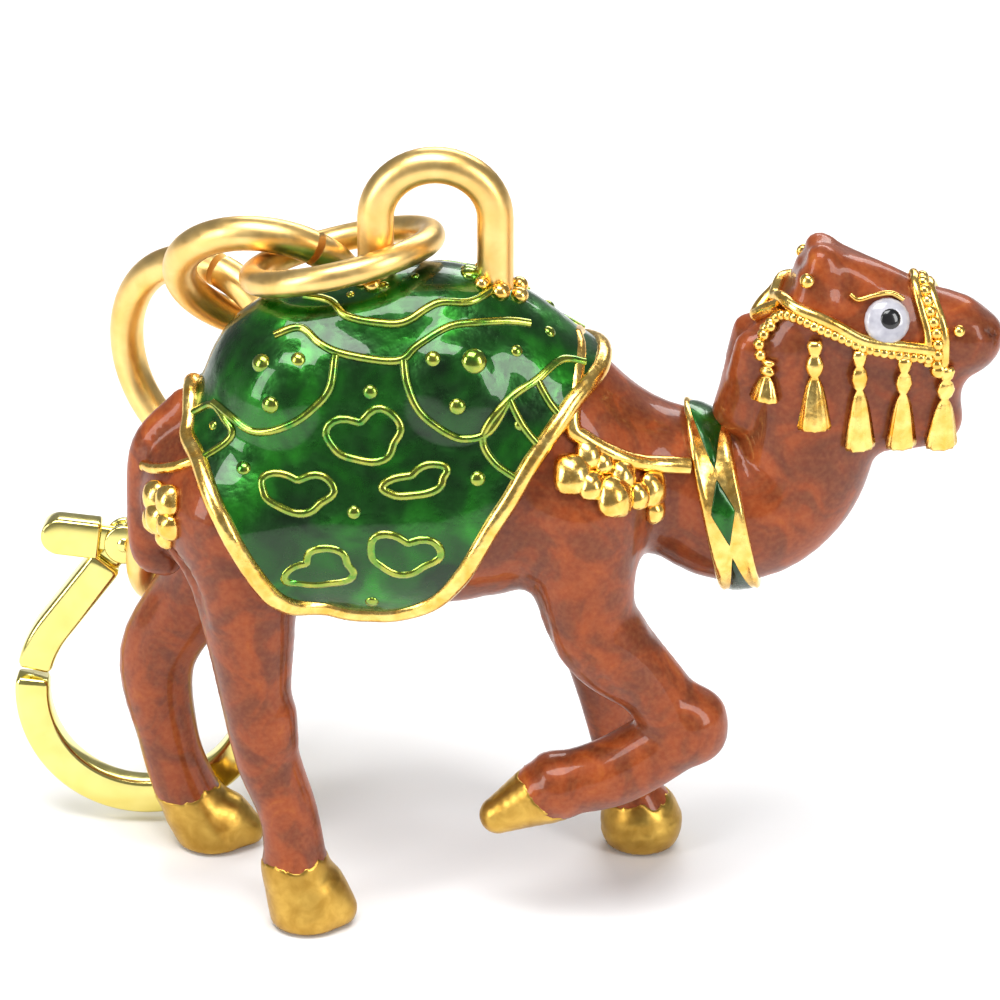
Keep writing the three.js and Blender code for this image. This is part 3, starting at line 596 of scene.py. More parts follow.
CLOTH_RINGS, UNDER_RINGS, SPOKES = 64, 8, len(ALL_HEM)
CLOTH_UNDERSIDE = -0.35        # sunk in the casting, so no gap shows at the hem
cloth = shell("saddle_cloth", fan(CLOTH_RINGS, ALL_HEM, CLOTH_MIDDLE),
              fan(UNDER_RINGS, ALL_HEM, CLOTH_MIDDLE), on_cloth,
              lambda chart: on_barrel(chart, CLOTH_UNDERSIDE), CLOTH_RINGS, UNDER_RINGS, SPOKES, CLOTH)
dress(cloth)

# %% [markdown]
# ## What follows a path
# Rim, relief lines, straps, arch and jump rings are all wire along a path. One Geometry Nodes tree draws
# them: it thickens a path into a closed tube and lets the thickness wander, as it does in a casting. A
# second tree sets a cast ornament, such as a bead or a tassel, on each of many points.

# %% Wire tree and ornament tree
ORNAMENT_LAYERS = ("along", "out", "stretch")


def new_tree(name, inputs):
    tree = bpy.data.node_groups.new(name, "GeometryNodeTree")
    tree.interface.new_socket("Geometry", in_out="INPUT", socket_type="NodeSocketGeometry")
    tree.interface.new_socket("Geometry", in_out="OUTPUT", socket_type="NodeSocketGeometry")
    for label, kind in inputs.items():
        tree.interface.new_socket(label, in_out="INPUT", socket_type=kind)
    return tree, add_node(tree, "NodeGroupInput").outputs


def end_tree(tree, geometry, material):
    real = add_node(tree, "GeometryNodeRealizeInstances", {"Geometry": geometry})
    smooth = add_node(tree, "GeometryNodeSetShadeSmooth", {"Geometry": real.outputs[0]})
    dressed = add_node(tree, "GeometryNodeSetMaterial", {"Geometry": smooth.outputs[0], "Material": material})
    add_node(tree, "NodeGroupOutput", {"Geometry": dressed.outputs[0]})


def wire_tree():
    tree, given = new_tree("Wire along a path", {
        "Radius": "NodeSocketFloat", "Sides": "NodeSocketInt", "Wander": "NodeSocketFloat",
        "Wander size": "NodeSocketFloat", "Seed": "NodeSocketFloat", "Material": "NodeSocketMaterial"})
    path = add_node(tree, "GeometryNodeMeshToCurve", {"Mesh": given["Geometry"]}).outputs["Curve"]
    often = add_node(tree, "ShaderNodeMath", {0: 1.0, 1: given["Wander size"]}, operation="DIVIDE").outputs[0]
    drift = add_node(tree, "ShaderNodeTexNoise", {"W": given["Seed"], "Scale": often, "Detail": 1.0},
                     noise_dimensions="4D").outputs["Fac"]
    swing = add_node(tree, "ShaderNodeMath", {0: drift, 1: -0.5}, operation="ADD").outputs[0]
    scale = add_node(tree, "ShaderNodeMath", {0: swing, 1: given["Wander"], 2: 1.0},
                     operation="MULTIPLY_ADD").outputs[0]
    path = add_node(tree, "GeometryNodeSetCurveRadius", {"Curve": path, "Radius": scale}).outputs[0]
    section = add_node(tree, "GeometryNodeCurvePrimitiveCircle",
                       {"Resolution": given["Sides"], "Radius": given["Radius"]}).outputs["Curve"]
    tube = add_node(tree, "GeometryNodeCurveToMesh",
                    {"Curve": path, "Profile Curve": section, "Fill Caps": True})
    end_tree(tree, tube.outputs[0], given["Material"])
    return tree


def ornament_tree():
    tree, given = new_tree("Ornament on points", {
        "Shape": "NodeSocketObject", "Material": "NodeSocketMaterial"})
    along, out, stretch = (
        add_node(tree, "GeometryNodeInputNamedAttribute", {"Name": name}, data_type="FLOAT_VECTOR").outputs[0]
        for name in ORNAMENT_LAYERS)
    turn = add_node(tree, "FunctionNodeAlignRotationToVector", {"Vector": along}, axis="Z").outputs[0]
    turn = add_node(tree, "FunctionNodeAlignRotationToVector", {"Rotation": turn, "Vector": out},
                    axis="X", pivot_axis="Z").outputs[0]
    shape = add_node(tree, "GeometryNodeObjectInfo", {"Object": given["Shape"]}).outputs["Geometry"]
    placed = add_node(tree, "GeometryNodeInstanceOnPoints", {
        "Points": given["Geometry"], "Instance": shape, "Rotation": turn, "Scale": stretch}).outputs[0]
    end_tree(tree, placed, given["Material"])
    return tree


WIRE, ORNAMENT = wire_tree(), ornament_tree()


def grow(name, tree, points, edges, inputs, vectors=None):
    source = mesh_object(name + "_path", points, edges=edges)
    for label, rows in (vectors or {}).items():
        layer = source.data.attributes.new(label, "FLOAT_VECTOR", "POINT")
        layer.data.foreach_set("vector", np.asarray(rows, float).ravel())
    modifier = source.modifiers.new("grow", "NODES")
    modifier.node_group = tree
    for item in tree.interface.items_tree:
        if item.in_out == "INPUT" and item.name in inputs:
            modifier[item.identifier] = inputs[item.name]
    bpy.context.view_layer.update()
    ready = source.evaluated_get(bpy.context.evaluated_depsgraph_get())
    mesh = bpy.data.meshes.new_from_object(ready)
    made = bpy.data.objects.new(name, mesh)
    mesh.name = name
    for layer in [a.name for a in mesh.attributes if a.name in ORNAMENT_LAYERS]:
        mesh.attributes.remove(mesh.attributes[layer])
    bpy.context.scene.collection.objects.link(made)
    bpy.data.objects.remove(source)
    return made


def path_edges(lengths, closed):
    edges, first = [], 0
    for n in lengths:
        edges += [(first + i, first + i + 1) for i in range(n - 1)]
        if closed:
            edges.append((first + n - 1, first))
        first += n
    return edges


def wires(name, paths, radius, material, closed=False, sides=10, wander=0.0, wander_size=1.0, seed=1.0):
    return grow(name, WIRE, np.vstack(paths), path_edges([len(p) for p in paths], closed), {
        "Radius": radius * MM, "Sides": sides, "Wander": wander, "Wander size": wander_size * MM,
        "Seed": seed, "Material": material})


# %% Shapes of the ornaments, one millimetre across and one long
def turned_shape(name, profile, sides, flutes=0, flute_depth=0.0):
    turn = 2 * math.pi * np.arange(sides) / sides
    rows = []
    for r, h in profile[1:-1]:
        wave = 1 + (flute_depth * np.cos(flutes * turn) if h > 0.42 else 0)
        rows.append(np.stack([r * wave * np.cos(turn), r * wave * np.sin(turn), np.full(sides, h)], axis=1))
    points = np.vstack([[[0, 0, profile[0][1]]], *rows, [[0, 0, profile[-1][1]]]])
    faces = [(0, 1 + (i + 1) % sides, 1 + i) for i in range(sides)]
    for row in range(len(rows) - 1):
        a, b = 1 + row * sides, 1 + (row + 1) * sides
        faces += [(a + i, a + (i + 1) % sides, b + (i + 1) % sides, b + i) for i in range(sides)]
    last, tip = 1 + (len(rows) - 1) * sides, len(points) - 1
    faces += [(tip, last + i, last + (i + 1) % sides) for i in range(sides)]
    made = mesh_object(name, points - CAMEL_PLACE, faces)
    made.data.transform(Matrix.Scale(1 / MM, 4))
    return made


BALL = [(math.sin(math.pi * i / 10), -math.cos(math.pi * i / 10)) for i in range(11)]
BALL_SIDES = 18
ROUND = turned_shape("bead_shape", BALL, BALL_SIDES)
TASSEL = turned_shape("tassel_shape", [
    (0, 0), (0.3, 0.0), (0.4, 0.05), (0.32, 0.13), (0.2, 0.16), (0.34, 0.2), (0.46, 0.28), (0.36, 0.36),
    (0.18, 0.4), (0.3, 0.45), (0.42, 0.52), (0.56, 0.66), (0.68, 0.82), (0.78, 0.95), (0.74, 0.99),
    (0.5, 1.0), (0, 1.0)], 28, 9, 0.07)
NUGGET = turned_shape("nugget_shape", BALL, BALL_SIDES)
for vertex in NUGGET.data.vertices:
    x, y, z = vertex.co
    vertex.co *= (1 + 0.12 * math.sin(3.1 * x + 1.3) * math.cos(2.7 * y)
                  + 0.06 * math.sin(2.1 * z + 2.2 * x + 0.7))


def ornaments(name, shape, points, along, out, stretch, material):
    return grow(name, ORNAMENT, points, (), {"Shape": shape, "Material": material},
                {"along": along, "out": out, "stretch": np.asarray(stretch, float) * MM})


def beads(name, rows, material, lift=0.0, field=modelled, shape=None):
    """Rows of x, y, z near the skin, then radius and height in mm."""
    rows = np.array(rows, float)
    points = settle(field, rows[:, :3], lift, rounds=5)
    normal = slope(field, points)
    level = np.tile([1.0, 0, 0.01], (len(points), 1))
    stretch = np.stack([rows[:, 3], rows[:, 3], rows[:, 4]], axis=1)
    return ornaments(name, shape or ROUND, points, normal, level, stretch, material)


print("trees:", [tree.name for tree in bpy.data.node_groups])

# %% [markdown]
# The rim of the cloth is a hammered-looking roll of gold. The relief lines are thin gold walls that the
# modeller raised to keep the enamel colours apart; the heart and leaf rings are only there to shine
# through. Both flanks get the same drawing.

# %% Rim and relief lines
RIM_RADIUS, RIM_DROP = 0.54, 0.16
LINES = [
    [(-10.6, 86), (-9.2, 82), (-8.3, 77), (-6.3, 74), (-5.0, 74), (-3.4, 78), (-1.4, 80), (0.2, 88)],
    [(-12.2, 75), (-10.8, 76), (-9.8, 71), (-8.8, 68), (-7.2, 66), (-5.4, 65), (-4.5, 68), (-2.7, 73),
     (-1.1, 75), (1.6, 79)],
    [(-8.9, 67), (-9.2, 59), (-10.2, 53), (-11.2, 49.5), (-12.5, 48), (-13.6, 50), (-14.6, 57), (-15.6, 67)],
    [(-5.2, 65), (-5.0, 59), (-4.3, 52), (-3.0, 46.5), (-1.9, 44.5), (-0.6, 47), (0.5, 57)],
    [(-16.8, 71), (-15.7, 67), (-14.9, 57), (-14.6, 50), (-16.2, 41)],
    [(4.6, 76), (3.4, 73), (2.0, 64), (0.5, 57), (-0.9, 46), (-0.4, 37), (0.9, 30)],
    [(2.0, 64), (2.7, 58), (3.3, 54)],
    [(0.5, 57), (1.3, 49), (2.1, 43)],
]
HEARTS = [(-7.3, 46, 3.9, 3.3, 0.2), (-11.0, 25, 3.9, 3.4, -0.15), (-4.5, 29, 3.7, 2.0, 0.5),
          (-9.8, -11, 4.1, 3.2, 0.9), (-5.2, -2, 3.8, 3.5, -0.3)]
CLOTH_BEADS = [(-7.0, 58, 0.42), (-12.9, 67, 0.55), (-10.9, 66, 0.42), (-12.4, 55, 0.5), (-3.6, 64, 0.45),
               (-1.4, 64, 0.72), (-2.3, 53, 0.48), (-13.9, 35, 0.42), (-1.2, 30, 0.45), (-7.0, -29, 0.4),
               (-7.9, 16, 0.4), (-6.3, 84, 0.32), (-1.6, 89, 0.6), (2.7, 80, 0.36), (0.9, 70, 0.36),
               (-15.6, 58, 0.3), (1.1, 50, 0.36), (-4.6, 86, 0.25), (-8.1, 83, 0.25)]
MM_PER_DEGREE = 0.19       # round the barrel at the level of the cloth


def heart(x, a, wide, tall, lean):
    t = np.linspace(0, 2 * math.pi, 40, endpoint=False)
    notch = (1 - 0.36 * np.exp(-((t - math.pi / 2) / 0.42) ** 2) - 0.1 * np.cos(3 * t + 1.2)
             + 0.05 * np.cos(5 * t))
    u, v = 0.5 * wide * notch * np.cos(t), 0.5 * tall * notch * np.sin(t)
    u, v = u * math.cos(lean) - v * math.sin(lean), u * math.sin(lean) + v * math.cos(lean)
    return np.stack([x + u, a + v / MM_PER_DEGREE], axis=1)


def far_flank(chart):
    chart = np.asarray(chart, float)
    return np.stack([chart[:, 0], 180 - chart[:, 1]], axis=1)


rim = wires("cloth_rim", [on_cloth(ALL_HEM, -RIM_DROP)], RIM_RADIUS, CAST_GOLD, closed=True, sides=14,
            wander=0.9, wander_size=0.9)
dress(rim)
line_paths, heart_paths = [], []
for flank in (np.asarray, far_flank):
    line_paths += [on_cloth(flank(spline(rows, steps=8)), -0.02) for rows in LINES]
    heart_paths += [on_cloth(flank(heart(*row)), -0.14) for row in HEARTS]
dress(wires("cloth_lines", line_paths, 0.25, VEILED_GOLD, wander=1.1, wander_size=0.8, seed=3))
dress(wires("cloth_hearts", heart_paths, 0.28, VEILED_GOLD, closed=True, wander=1.1, wander_size=0.7, seed=5))
spots = np.array(CLOTH_BEADS)
spots = np.vstack([spots, np.column_stack([spots[:, 0], 180 - spots[:, 1], spots[:, 2]])])
spot_points = on_cloth(spots[:, :2], -0.05)
dress(ornaments("cloth_beads", ROUND, spot_points, slope(animal, spot_points),
                np.tile([1.0, 0, 0.01], (len(spots), 1)),
                np.column_stack([spots[:, 2], spots[:, 2], 0.62 * spots[:, 2]]), VEILED_GOLD))

# %% [markdown]
# ## Collar
# A broad gold band with a raised lip at each edge and lozenges of green enamel, one on the crest, one on
# each side and one under the throat. The band is a closed loop of one cross-section; each lozenge is a
# low dome of glass let into it.

# %% Collar band and lozenges
COLLAR = {"x": 12.3, "z": 25.1, "lean": 0.2, "width": 2.3}
COLLAR_SECTION = [(-0.5, -0.4), (-0.5, 0.25), (-0.47, 0.42), (-0.4, 0.5), (-0.34, 0.44), (-0.2, 0.4),
                  (0.0, 0.4), (0.2, 0.4), (0.34, 0.44), (0.4, 0.5), (0.47, 0.42), (0.5, 0.25), (0.5, -0.4)]
LOZENGES = [(0, 52, 0.42), (84, 27, 0.3), (180, 62, 0.42), (276, 27, 0.3)]   # centre, half length, half width


def on_collar(turn, across, lift):
    a = np.radians(turn)
    lean = COLLAR["lean"]
    up, side = np.array([-math.sin(lean), 0, math.cos(lean)]), np.array([math.cos(lean), 0, math.sin(lean)])
    out = np.cos(a)[:, None] * up + np.sin(a)[:, None] * np.array([0, -1.0, 0])
    axis = np.array([COLLAR["x"], 0, COLLAR["z"]]) + (across * COLLAR["width"])[:, None] * side
    return inwards(axis + 9 * out, axis, lift)


sides = 120
turns = np.repeat(np.arange(sides) * 360 / sides, len(COLLAR_SECTION))
section = np.tile(np.array(COLLAR_SECTION), (sides, 1))
n = len(COLLAR_SECTION)
band_faces = [(n * i + k, n * i + (k + 1) % n, n * ((i + 1) % sides) + (k + 1) % n, n * ((i + 1) % sides) + k)
              for i in range(sides) for k in range(n)]
band = mesh_object("collar_band", on_collar(turns, section[:, 0], section[:, 1]), band_faces,
                   material=CAST_GOLD)
dress(band)

corner = np.linspace(0, 2 * math.pi, 48, endpoint=False)
square = np.maximum(np.abs(np.cos(corner)) + np.abs(np.sin(corner)), 1.04)
outline = np.stack([np.cos(corner), np.sin(corner)], axis=1) / square[:, None]
for number, (centre, half, wide) in enumerate(LOZENGES):
    def dome(chart, centre=centre, half=half, wide=wide, rise=0.08, edge=0.43):
        far = np.abs(chart).sum(axis=1)
        return on_collar(centre + half * chart[:, 1], wide * chart[:, 0], edge + rise * (1 - far ** 4))
    lozenge = shell(f"collar_lozenge_{number + 1}", fan(10, outline, np.zeros(2)),
                    fan(3, outline, np.zeros(2)), dome, lambda chart, d=dome: d(chart, rise=0, edge=0.2),
                    10, 3, len(outline), CLOTH)
    dress(lozenge)

# %% [markdown]
# ## Harness
# Straps are wire laid on the skin. Along the cheek a plain band runs above a cord of beads, and five
# tassels hang from it; a row of beads fills the noseband. The crupper ends at each side of the tail. The
# chest and the rump carry clusters of gold nuggets.

# %% Straps
CHEST_STRAP = [[3.6, 0, 33.6], [3.9, -4.5, 31.3], [4.7, -4.8, 30.3], [6.5, -4.6, 29.2], [7.9, -4.0, 28.5],
               [10.4, -3.3, 28.0]]
CRUPPER = [[-16.4, -4.3, 29.1], [-17.8, -3.7, 28.2], [-19.0, -2.4, 27.4], [-19.5, -1.2, 27.0]]
NOSE_FRONT = [[24.2, -2.3, 33.4], [24.1, -2.0, 35.5], [23.4, -0.7, 37.0], [23.3, 0, 37.1]]
NOSE_BACK = [[23.3, -2.4, 33.6], [23.2, -2.1, 35.6], [22.4, -0.7, 37.2], [22.3, 0, 37.3]]
CHEEK_BAND = [[23.6, -2.4, 34.5], [21.2, -2.7, 34.95], [19.7, -2.9, 35.3], [18.1, -2.8, 36.2],
              [16.8, -2.5, 36.75], [15.4, -1.3, 37.1], [14.6, 0, 37.0]]
CHEEK_CORD = [[23.3, -2.4, 34.0], [21.8, -2.6, 34.3], [20.2, -2.8, 34.7], [18.6, -2.9, 35.4],
              [17.3, -2.8, 36.0], [16.2, -2.4, 36.4], [15.2, -1.7, 36.3], [14.4, -1.6, 35.4]]
POLL_BAND = [[15.6, -1.2, 36.6], [14.6, -0.7, 36.2], [13.9, 0, 35.7]]
NAPE_CORD = [[14.5, -2.0, 35.9], [14.1, -2.1, 34.9], [14.2, -2.4, 33.9]]


def evenly(path, spacing):
    far = np.concatenate([[0], np.cumsum(np.linalg.norm(np.diff(path, axis=0), axis=1))])
    marks = np.arange(0, far[-1], spacing)
    return np.stack([np.interp(marks, far, column) for column in path.T], axis=1)


def strap_path(rows, lift, steps=8):
    return settle(modelled, spline(rows, steps), lift, rounds=6)


def over_the_top(rows):
    back = mirrored(rows)[::-1]
    return rows + (back[1:] if rows[-1][1] == 0 else back)


bands = [(over_the_top(CHEEK_BAND), 0.36, 0.14), (over_the_top(NOSE_FRONT), 0.28, 0.14),
         (over_the_top(NOSE_BACK), 0.28, 0.14), (CRUPPER, 0.32, 0.08), (mirrored(CRUPPER), 0.32, 0.08),
         (CHEST_STRAP, 0.5, 0.12), (mirrored(CHEST_STRAP), 0.5, 0.12), (over_the_top(POLL_BAND), 0.42, 0.12)]
for number, (rows, radius, lift) in enumerate(bands):
    dress(wires(f"strap_{number + 1}", [strap_path(rows, lift)], radius, CAST_GOLD, sides=12, wander=0.5,
                wander_size=0.7, seed=number))

# %% Cords and beads of the head
def beaded(rows, spacing, radius, height, lift):
    return [[*spot, radius, height] for spot in evenly(strap_path(rows, lift, 12), spacing)]


NOSE_MIDDLE = [[23.8, -2.4, 33.6], [23.7, -2.1, 35.5], [22.9, -0.7, 37.1], [22.8, 0, 37.2]]
head_beads = beaded(CHEEK_CORD, 0.42, 0.32, 0.3, 0.22) + beaded(mirrored(CHEEK_CORD), 0.42, 0.32, 0.3, 0.22)
head_beads += beaded(over_the_top(NOSE_MIDDLE), 0.62, 0.36, 0.34, 0.2)
head_beads += beaded(NAPE_CORD, 0.6, 0.36, 0.34, 0.2) + beaded(mirrored(NAPE_CORD), 0.6, 0.36, 0.34, 0.2)
for extra in ([24.9, -1.8, 35.4, 0.34, 0.3], [16.7, -1.9, 38.4, 0.42, 0.3], [23.9, -2.4, 33.2, 0.5, 0.45]):
    head_beads += [extra, mirrored([extra])[0]]
dress(beads("head_beads", head_beads, CAST_GOLD, 0.2))

# %% Tassels
TASSELS = [[14.5, 34.0, 31.6, 0.95], [17.1, 35.3, 30.2, 1.0], [19.5, 34.8, 28.8, 0.95],
           [22.0, 34.2, 28.3, 0.95], [24.4, 33.4, 27.8, 1.0]]
heads, hems, widths = [], [], []
for side in (-1, 1):
    for x, top, bottom, wide in TASSELS:
        heads.append([x, side * 2.6, top])
        hems.append([x, side * 2.4, bottom])
        widths.append(wide)
heads = settle(animal, np.array(heads), 0.3, rounds=8)
hems = settle(animal, np.array(hems), 0.3, rounds=8)
along = hems - heads
length = np.linalg.norm(along, axis=1)
away = slope(animal, 0.5 * (heads + hems))
widths = np.array(widths)
stretch = np.stack([0.75 * widths, 1.15 * widths, length], axis=1)
dress(ornaments("tassels", TASSEL, heads, along, away, stretch, CAST_GOLD))

# %% Chest nuggets and rump nuggets
CHEST_NUGGETS = [[3.9, -5.8, 28.7, 1.25, 0.7], [5.0, -5.6, 29.9, 0.95, 0.55], [4.9, -5.9, 28.0, 0.9, 0.6],
                 [6.0, -5.8, 27.3, 1.25, 0.75], [6.8, -5.3, 28.4, 0.95, 0.6], [7.4, -5.0, 27.0, 0.85, 0.6],
                 [8.4, -4.4, 27.1, 1.1, 0.65], [8.5, -4.3, 25.7, 0.75, 0.5], [5.8, -5.5, 29.3, 0.7, 0.5]]
RUMP_NUGGETS = [[-19.1, -3.6, 26.3, 0.95, 0.6], [-18.0, -4.6, 26.5, 0.95, 0.6],
                [-18.7, -4.1, 25.2, 1.05, 0.65], [-17.7, -4.8, 25.2, 0.85, 0.6],
                [-19.3, -3.4, 24.6, 0.8, 0.5], [-18.4, -4.3, 24.1, 0.7, 0.45]]
nuggets = CHEST_NUGGETS + RUMP_NUGGETS
dress(beads("nuggets", nuggets + mirrored(nuggets), CAST_GOLD, 0.12, shape=NUGGET))

# %% [markdown]
# ## Face
# The eye is a drop of opaque white enamel with a black one on it, a low dome standing a little proud of
# the skull, and the brow above it is a thin gold line.

# %% Eyes and brows
EYE, PUPIL = [21.0, -2.4, 36.25, 1.28, 0.5], [21.08, -2.35, 36.35, 0.58, 0.2]   # place, radius, height
for name, row, enamel, lift in (("eye_whites", EYE, EYE_WHITE, 0.02), ("pupils", PUPIL, EYE_BLACK, 0.42)):
    dress(beads(name, [row, *mirrored([row])], enamel, lift))
BROW = [[18.9, -1.7, 37.6], [19.4, -1.9, 37.3], [20.2, -1.8, 37.5], [21.2, -1.7, 37.6], [21.9, -1.8, 37.3]]
dress(wires("brows", [strap_path(BROW, 0.2), strap_path(mirrored(BROW), 0.2)], 0.15, CAST_GOLD, sides=8,
            wander=0.6, wander_size=0.6))

# %% [markdown]
# ## Arch, jump rings and clasp
# The arch is cast with the camel and the first ring runs through it. A jump ring is a turn of wire whose
# cut ends meet, so it is an open path with flat ends and a hair-wide gap.

# %% Arch
ARCH = {"x": -3.5, "half": 3.25, "rise": 3.1, "spring": 41.3, "foot": 36.5, "wire": 1.0}
turn = np.radians(np.arange(180, -1, -7.5))
crown = np.stack([ARCH["x"] + ARCH["half"] * np.cos(turn), 0 * turn,
                  ARCH["spring"] + ARCH["rise"] * np.sin(turn)], axis=1)
leg = np.linspace(ARCH["foot"] - 0.6, ARCH["spring"], 8)[:-1]
left = np.stack([np.full(7, ARCH["x"] - ARCH["half"]), 0 * leg, leg], axis=1)
right = np.stack([np.full(7, ARCH["x"] + ARCH["half"]), 0 * leg, leg], axis=1)[::-1]
dress(wires("arch", [np.vstack([left, crown, right])], ARCH["wire"], SATIN_GOLD, sides=40))
ARCH_DROPS = [[-0.25, -1.0, 36.9, 0.55, 0.5], [-1.2, -0.9, 37.2, 0.42, 0.4], [0.7, -0.6, 36.4, 0.5, 0.45],
              [-6.75, -1.0, 37.2, 0.5, 0.45], [-7.4, -0.6, 37.0, 0.4, 0.35]]
dress(beads("arch_drops", ARCH_DROPS + mirrored(ARCH_DROPS), CAST_GOLD, 0.5))

# %% Jump rings
LINKS = [
    {"at": [-8.66, 2.36, 38.02], "faces": [-0.228, 0.197, 0.954], "radius": 5.05, "wire": 0.76, "slit": 200},
    {"at": [-13.13, 7.45, 34.4], "faces": [-0.116, -0.812, -0.573], "radius": 4.85, "wire": 0.97, "slit": 50},
    {"at": [-16.7, 11.25, 27.66], "faces": [0.59, 0.808, 0.002], "radius": 6.0, "wire": 0.97, "slit": 100},
    {"at": [-18.14, 11.01, 18.78], "faces": [0.889, -0.416, -0.192], "radius": 5.19, "wire": 0.9,
     "slit": 150},
]
LINK_SLIT = 0.35
for number, link in enumerate(LINKS):
    facing = np.array(link["faces"]) / np.linalg.norm(link["faces"])
    helper = np.array([0, 0, 1.0]) if abs(facing[2]) < 0.9 else np.array([1.0, 0, 0])
    u = np.cross(helper, facing)
    u /= np.linalg.norm(u)
    v = np.cross(facing, u)
    gap = LINK_SLIT / link["radius"]
    turn = math.radians(link["slit"]) + 0.5 * gap + np.linspace(0, 2 * math.pi - gap, 145)
    path = np.array(link["at"]) + link["radius"] * (np.cos(turn)[:, None] * u + np.sin(turn)[:, None] * v)
    ring = wires(f"jump_ring_{number + 1}", [path], link["wire"], SATIN_GOLD, sides=36)
    dress(ring, stands_for=[f"chain_link_{number + 1}"])

# %% [markdown]
# The clasp is stamped from flat strip with its edges rolled over. Its loop is a teardrop, and the gate
# is the piece of the loop on the side of the pivot: a band of the same section that turns about the pin,
# with a thumb tab beyond it. Both bands are one rounded section carried along the teardrop. The CAD's
# hook has a slot for the gate's tongue. This loop has none, so the tongue lies inside the loop's end.

# %% Clasp
CLASP = {"x": -20.65, "y": 7.75, "z": 0.33, "lean": 0.106, "height": 7.62, "outer": 7.57, "band": 2.0,
         "apex": 8.27, "apex_radius": 2.5, "thick": 1.7}
PIVOT = np.array([-1.0, 9.2])
GATE = {"root": 1.4, "reach": 9.6, "gap": 0.25}
TAB, TAB_HALF = np.array([-4.7, 9.65]), 1.1
TONGUE_THICK, CHEEK_THICK = 0.66, 0.35            # in the fork of the hinge
TONGUE_HALF, TONGUE_REACH = 0.8, 1.9
KNUCKLE_RADIUS, CHEEK_RADIUS, PIN_RADIUS = 1.05, 1.15, 0.5
PIN_HEAD = 0.16                                   # how much longer the pin is than the clasp is thick
CHEEK_AT = 0.5 * (CLASP["thick"] - CHEEK_THICK)
STRIP_STEP = 0.2
DISC_SIDES = 40
lean = CLASP["lean"]
CLASP_U, CLASP_V = np.array([1.0, 0, 0]), np.array([0, math.sin(lean), math.cos(lean)])
CLASP_W = np.array([0, -math.cos(lean), math.sin(lean)])
CLASP_ORIGIN = np.array([CLASP["x"], CLASP["y"], CLASP["z"]]) + CLASP["height"] * CLASP_V


def stand(flat, w):
    return CLASP_ORIGIN + flat[:, :1] * CLASP_U + flat[:, 1:2] * CLASP_V + np.reshape(w, (-1, 1)) * CLASP_W


def arc(centre, radius, start, stop, steps):
    a = np.radians(np.linspace(start, stop, steps))
    return np.asarray(centre) + radius * np.stack([np.cos(a), np.sin(a)], axis=1)


def rounded_section(half, thick, corner=0.28, steps=4):
    section = []
    for su, sw, start in ((1, 1, 0), (-1, 1, 90), (-1, -1, 180), (1, -1, 270)):
        centre = (su * (half - corner), sw * (0.5 * thick - corner))
        section.append(arc(centre, corner, start, start + 90, steps))
    return np.vstack(section)


def strip(name, path, half, thick, material, round_end=0.0):
    forward = np.gradient(path, axis=0)
    forward /= np.linalg.norm(forward, axis=1, keepdims=True)
    side = np.stack([forward[:, 1], -forward[:, 0]], axis=1)
    section = rounded_section(half, thick)
    shrink = np.r_[0.86, 0.97, np.ones(len(path) - 4), 0.97, 0.86]
    wide = shrink.copy()
    if round_end:
        past = np.linalg.norm(path - path[-1], axis=1)
        near = past < round_end
        wide[near] = np.sqrt(1 - (1 - past[near] / round_end) ** 2 * 0.97)
    rows = [stand(p + w * section[:, :1] * s, t * section[:, 1])
            for p, s, w, t in zip(path, side, wide, shrink)]
    m = len(section)
    faces = [(m * i + k, m * (i + 1) + k, m * (i + 1) + (k + 1) % m, m * i + (k + 1) % m)
             for i in range(len(path) - 1) for k in range(m)]
    faces += [tuple(range(m)), tuple(m * (len(path) - 1) + k for k in reversed(range(m)))]
    return mesh_object(name, np.vstack(rows), faces, material=material)


def disc(name, radius, thick, material, at=0.0, bevel=0.12):
    rings = [(1 - bevel, -0.5), (1, -0.5 + bevel), (1, 0.5 - bevel), (1 - bevel, 0.5)]
    n = DISC_SIDES
    turn = 2 * math.pi * np.arange(n) / n
    rows = [stand(PIVOT + radius * r * np.stack([np.cos(turn), np.sin(turn)], 1), np.full(n, at + thick * h))
            for r, h in rings]
    points = np.vstack([stand(PIVOT[None], at - 0.5 * thick), *rows, stand(PIVOT[None], at + 0.5 * thick)])
    faces = [(0, 1 + (i + 1) % n, 1 + i) for i in range(n)]
    for first in range(1, 1 + n * (len(rings) - 1), n):
        faces += [(first + i, first + (i + 1) % n, first + n + (i + 1) % n, first + n + i) for i in range(n)]
    last = 1 + n * (len(rings) - 1)
    faces += [(last + n, last + i, last + (i + 1) % n) for i in range(n)]
    return mesh_object(name, points, faces, material=material)


middle_big = CLASP["outer"] - 0.5 * CLASP["band"]
middle_small = CLASP["apex_radius"] - 0.5 * CLASP["band"]
tilt = math.degrees(math.acos((middle_big - middle_small) / CLASP["apex"]))
crest = arc((0, CLASP["apex"]), middle_small, 90 - tilt, 90 + tilt, 24)
loop = np.vstack([crest[-1:], arc((0, 0), middle_big, 90 + tilt, 450 - tilt, 120), crest])
loop = evenly(loop, STRIP_STEP)
from_pivot = np.linalg.norm(loop - PIVOT, axis=1)
bottom = int(np.argmin(loop[:, 1]))
half = 0.5 * CLASP["band"]
gate_path = loop[:bottom][(from_pivot[:bottom] < GATE["reach"]) & (from_pivot[:bottom] > GATE["root"])]
hook_start = int(np.argmax(from_pivot[:bottom] > GATE["reach"] + GATE["gap"]))
hook_path = loop[hook_start:-3]
print("gate path", gate_path[0].round(2), gate_path[-1].round(2), "hook path", hook_path[0].round(2),
      hook_path[-1].round(2))

